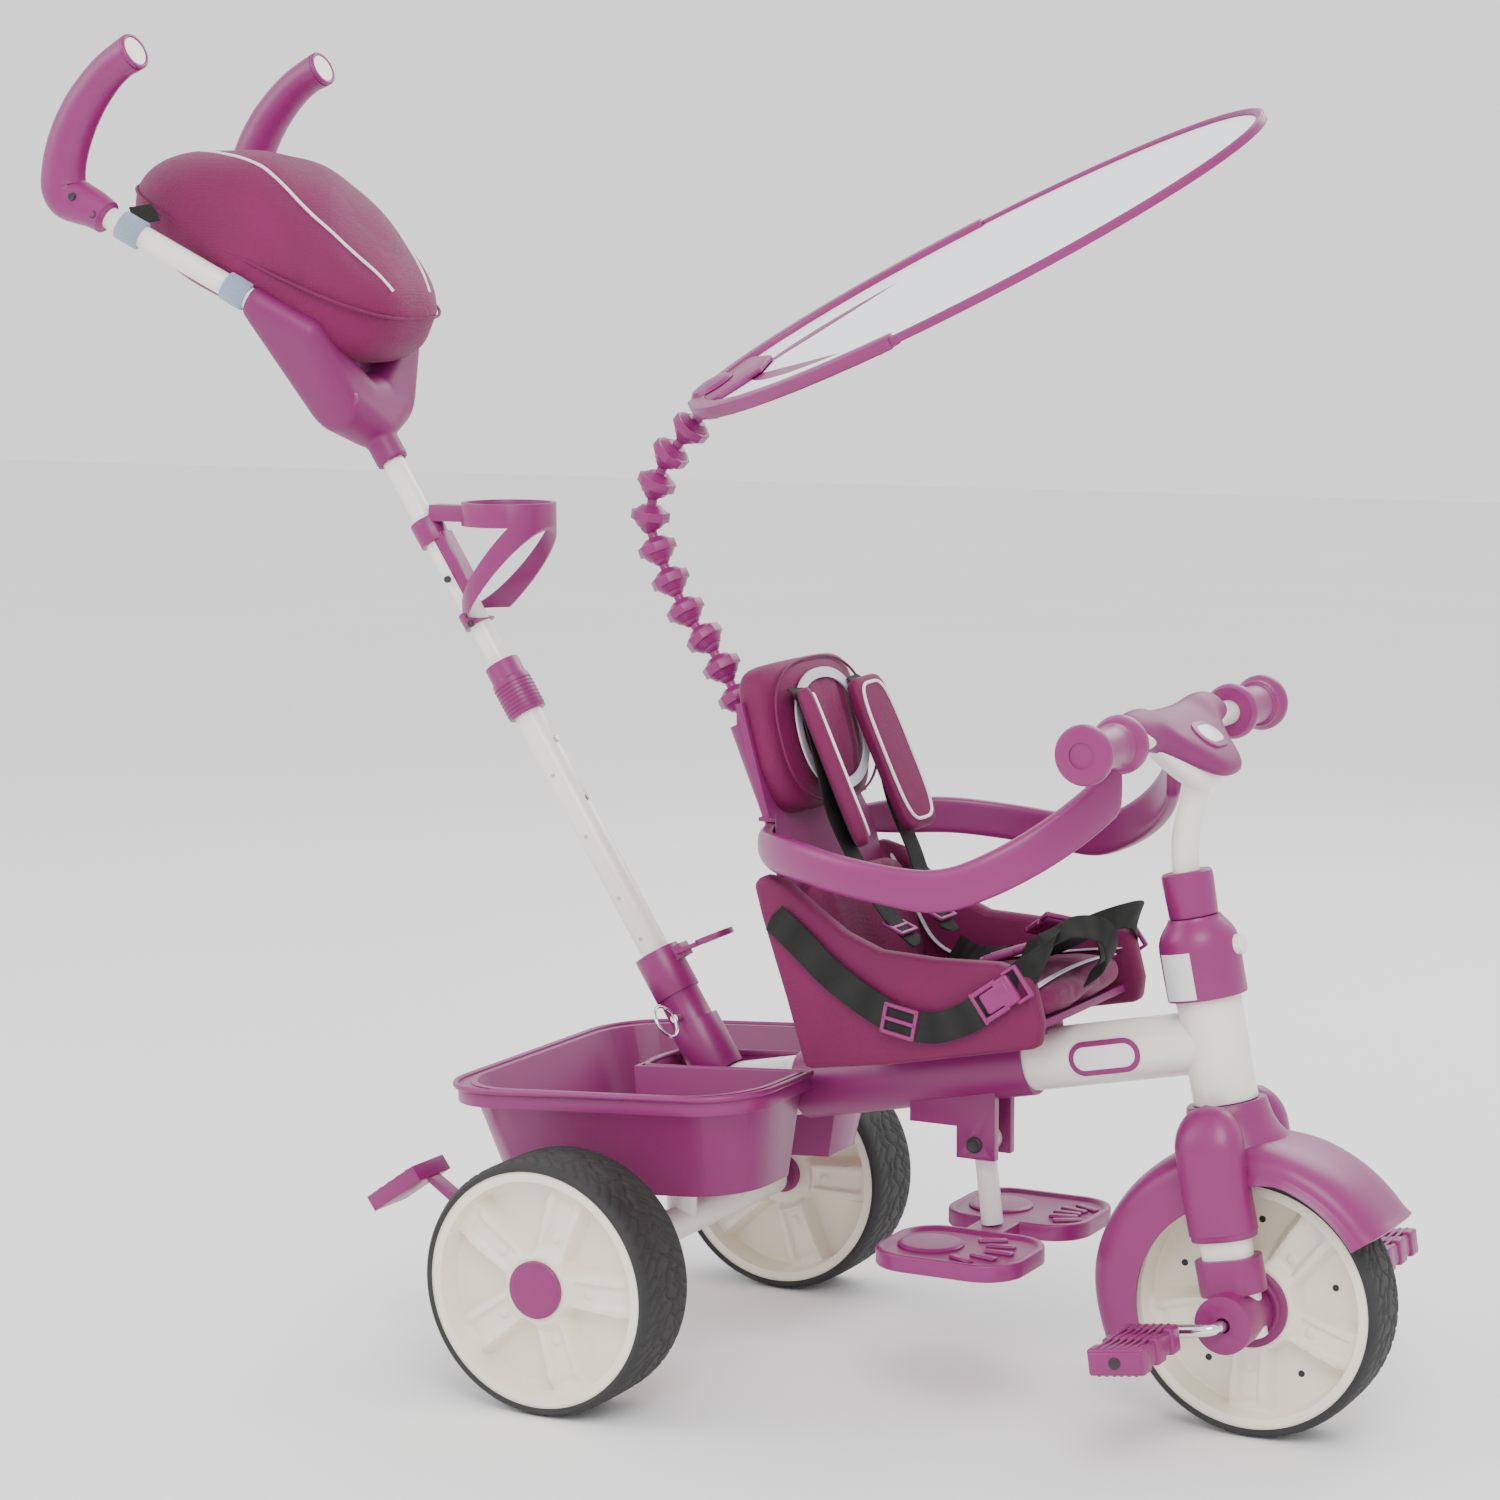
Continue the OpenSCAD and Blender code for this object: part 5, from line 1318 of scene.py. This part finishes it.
class TRIKE_OT_bag(bpy.types.Operator):
    """Model the padded storage bag between the handle arms with its piping and straps"""
    bl_idname = "trike.bag"
    bl_label = "Storage bag"

    def execute(self, context):
        def bulge(x, y, z):
            along, across = x / 150, y / 96
            peak = 26 * exp(-((along + 0.10) / 0.55) ** 2) if z > 0 else 0
            sag = -4 * (1 - along ** 2) - 20 * step(x, 20, 125) if z < 0 else 0
            crease = 1.6 * sin(9 * along + 2.2 * across) * cos(5 * across + 3 * along) * (1 - along ** 4)
            lift, ripple = (peak - 14, crease) if z > 0 else (sag, 0.4 * crease)
            return (x, y * (1 - 0.10 * (along + 0.2) ** 2), z * (1 - 0.10 * along) + lift + ripple + 2)
        bag = swell(pillow("storage_bag", BAG, (147, 95, 58), 0.72, 0.80, bulge, (112, 72)), 2.0, 5, 5.0)
        dress(bag, "upper_pole", "bag_fabric_painted_lighter", ["bag"], 70)
        inverse = BAG.inverted()
        skin = [(inverse @ vertex.co) / MM for vertex in bag.data.vertices]

        def height_at(x, y):
            near = sorted(skin, key=lambda p: (p.x - x) ** 2 + (p.y - y) ** 2 - (0 if p.z < 0 else 1e3))[:6]
            return sum(p.z for p in near) / len(near)
        seams = []
        for s in (-1, 1):
            points = []
            for n in range(15):
                t = n / 14
                x = -96 + 228 * t
                y = s * (34 + 30 * sin(pi * min(1, t * 0.95)) - 10 * t)
                points.append(at(BAG, x, y, height_at(x, y) + 0.4))
            seams.append(bent_rod("piping", smooth_path(points, 90), sizes().piping))
        dress(joined("bag_piping", seams), "upper_pole", "cord")
        zip_line = [at(BAG, x, y, -3) for x, y in oval(146.265, 94, 0.72, 0.72, 80)]
        dress(bent_rod("bag_seam", zip_line, 1.4, True), "upper_pole", "bag_fabric_painted_lighter")
        tapes, loops = [], []
        section = [(10.15, -11), (12.3, -11), (12.8, -10.2), (12.8, 10.2), (12.3, 11), (10.15, 11)]
        for s in (-1, 1):
            foot, tip, turn = yoke_arm(s)
            inward = Vector((12, -20 * s, 16)) * MM
            for share in (0.33, 0.83):
                place = foot + (tip - foot) * share
                tapes.append(turned("tape", section, Matrix.Translation(place) @ turn.to_4x4(), 40))
                path = [place + Vector((0, 0, 0.0125)), place + 0.5 * inward + Vector((0, 0, 0.006)),
                        place + inward]
                loops.append(strap("loop", path, 20, lambda v: (tip - foot).normalized(), 1.6, 16))
        dress(joined("bag_loop_tapes", tapes), "upper_pole", "loop_tape")
        dress(joined("bag_straps", loops), "upper_pole", "webbing")
        return {"FINISHED"}


# --- stage ---
class TRIKE_OT_stage(bpy.types.Operator):
    """Add the pale floor, the soft studio lights and the camera"""
    bl_idname = "trike.stage"
    bl_label = "Floor, lights and camera"

    def execute(self, context):
        start()
        bpy.ops.mesh.primitive_plane_add(size=24, location=(0, 0, 0))
        floor = settle("studio_floor")
        paint = Paint("studio_floor", Roughness=0.9, Specular_IOR_Level=0.1)
        paint.feed("Base Color", paint.shade(paint.noise(1.5, 2.0), (0.90, 0.90, 0.90), (0.94, 0.94, 0.94)))
        floor.data.materials.append(paint.material)
        world = bpy.data.worlds.new("studio")
        world.use_nodes = True
        sky = world.node_tree.nodes["Background"].inputs
        sky["Color"].default_value = (1, 1, 1, 1)
        sky["Strength"].default_value = 1.35
        context.scene.world = world
        for place, aim_height, size, power in (((1.4, -2.2, 2.6), 0.5, 1.6, 62),
                                               ((-2.4, -1.6, 2.2), 0.5, 1.8, 34),
                                               ((0.4, 2.4, 2.4), 0.6, 1.8, 40)):
            bpy.ops.object.light_add(type="AREA", location=place)
            lamp = context.object
            lamp.data.size = size
            lamp.data.energy = power
            aim = Vector((0, 0, aim_height)) - Vector(place)
            lamp.rotation_euler = aim.to_track_quat("-Z", "Y").to_euler()
        bpy.ops.object.camera_add(location=(1.4205, -2.636, 0.903),
                                  rotation=(radians(82.602), 0, radians(27.818)))
        camera = context.object
        camera.data.lens = 86.33
        camera.data.sensor_width = 36
        context.scene.camera = camera
        return {"FINISHED"}


STEPS = (TRIKE_OT_frame, TRIKE_OT_wheels, TRIKE_OT_fork, TRIKE_OT_mudguard, TRIKE_OT_handlebar,
         TRIKE_OT_seat, TRIKE_OT_harness, TRIKE_OT_safety_ring, TRIKE_OT_basket, TRIKE_OT_footrest,
         TRIKE_OT_canopy, TRIKE_OT_pole, TRIKE_OT_push_handle, TRIKE_OT_bag, TRIKE_OT_stage)


class TRIKE_PT_panel(bpy.types.Panel):
    """Lists the tricycle's sizes, colours and pieces"""
    bl_idname = "TRIKE_PT_panel"
    bl_label = "Tricycle"
    bl_space_type = "VIEW_3D"
    bl_region_type = "UI"
    bl_category = "Tricycle"

    def draw(self, context):
        for group in (context.scene.trike_colours, context.scene.trike_sizes):
            for name in group.__annotations__:
                self.layout.prop(group, name)
        for kind in STEPS:
            self.layout.operator(kind.bl_idname)


CLASSES = (TrikeColours, TrikeSizes, *STEPS, TRIKE_PT_panel)


def register():
    for kind in CLASSES:
        bpy.utils.register_class(kind)
    bpy.types.Scene.trike_colours = bpy.props.PointerProperty(type=TrikeColours)
    bpy.types.Scene.trike_sizes = bpy.props.PointerProperty(type=TrikeSizes)


def unregister():
    del bpy.types.Scene.trike_sizes
    del bpy.types.Scene.trike_colours
    for kind in reversed(CLASSES):
        bpy.utils.unregister_class(kind)


def main():
    register()
    for kind in STEPS:
        group, name = kind.bl_idname.split(".")
        getattr(getattr(bpy.ops, group), name)()


if __name__ == "__main__":
    main()
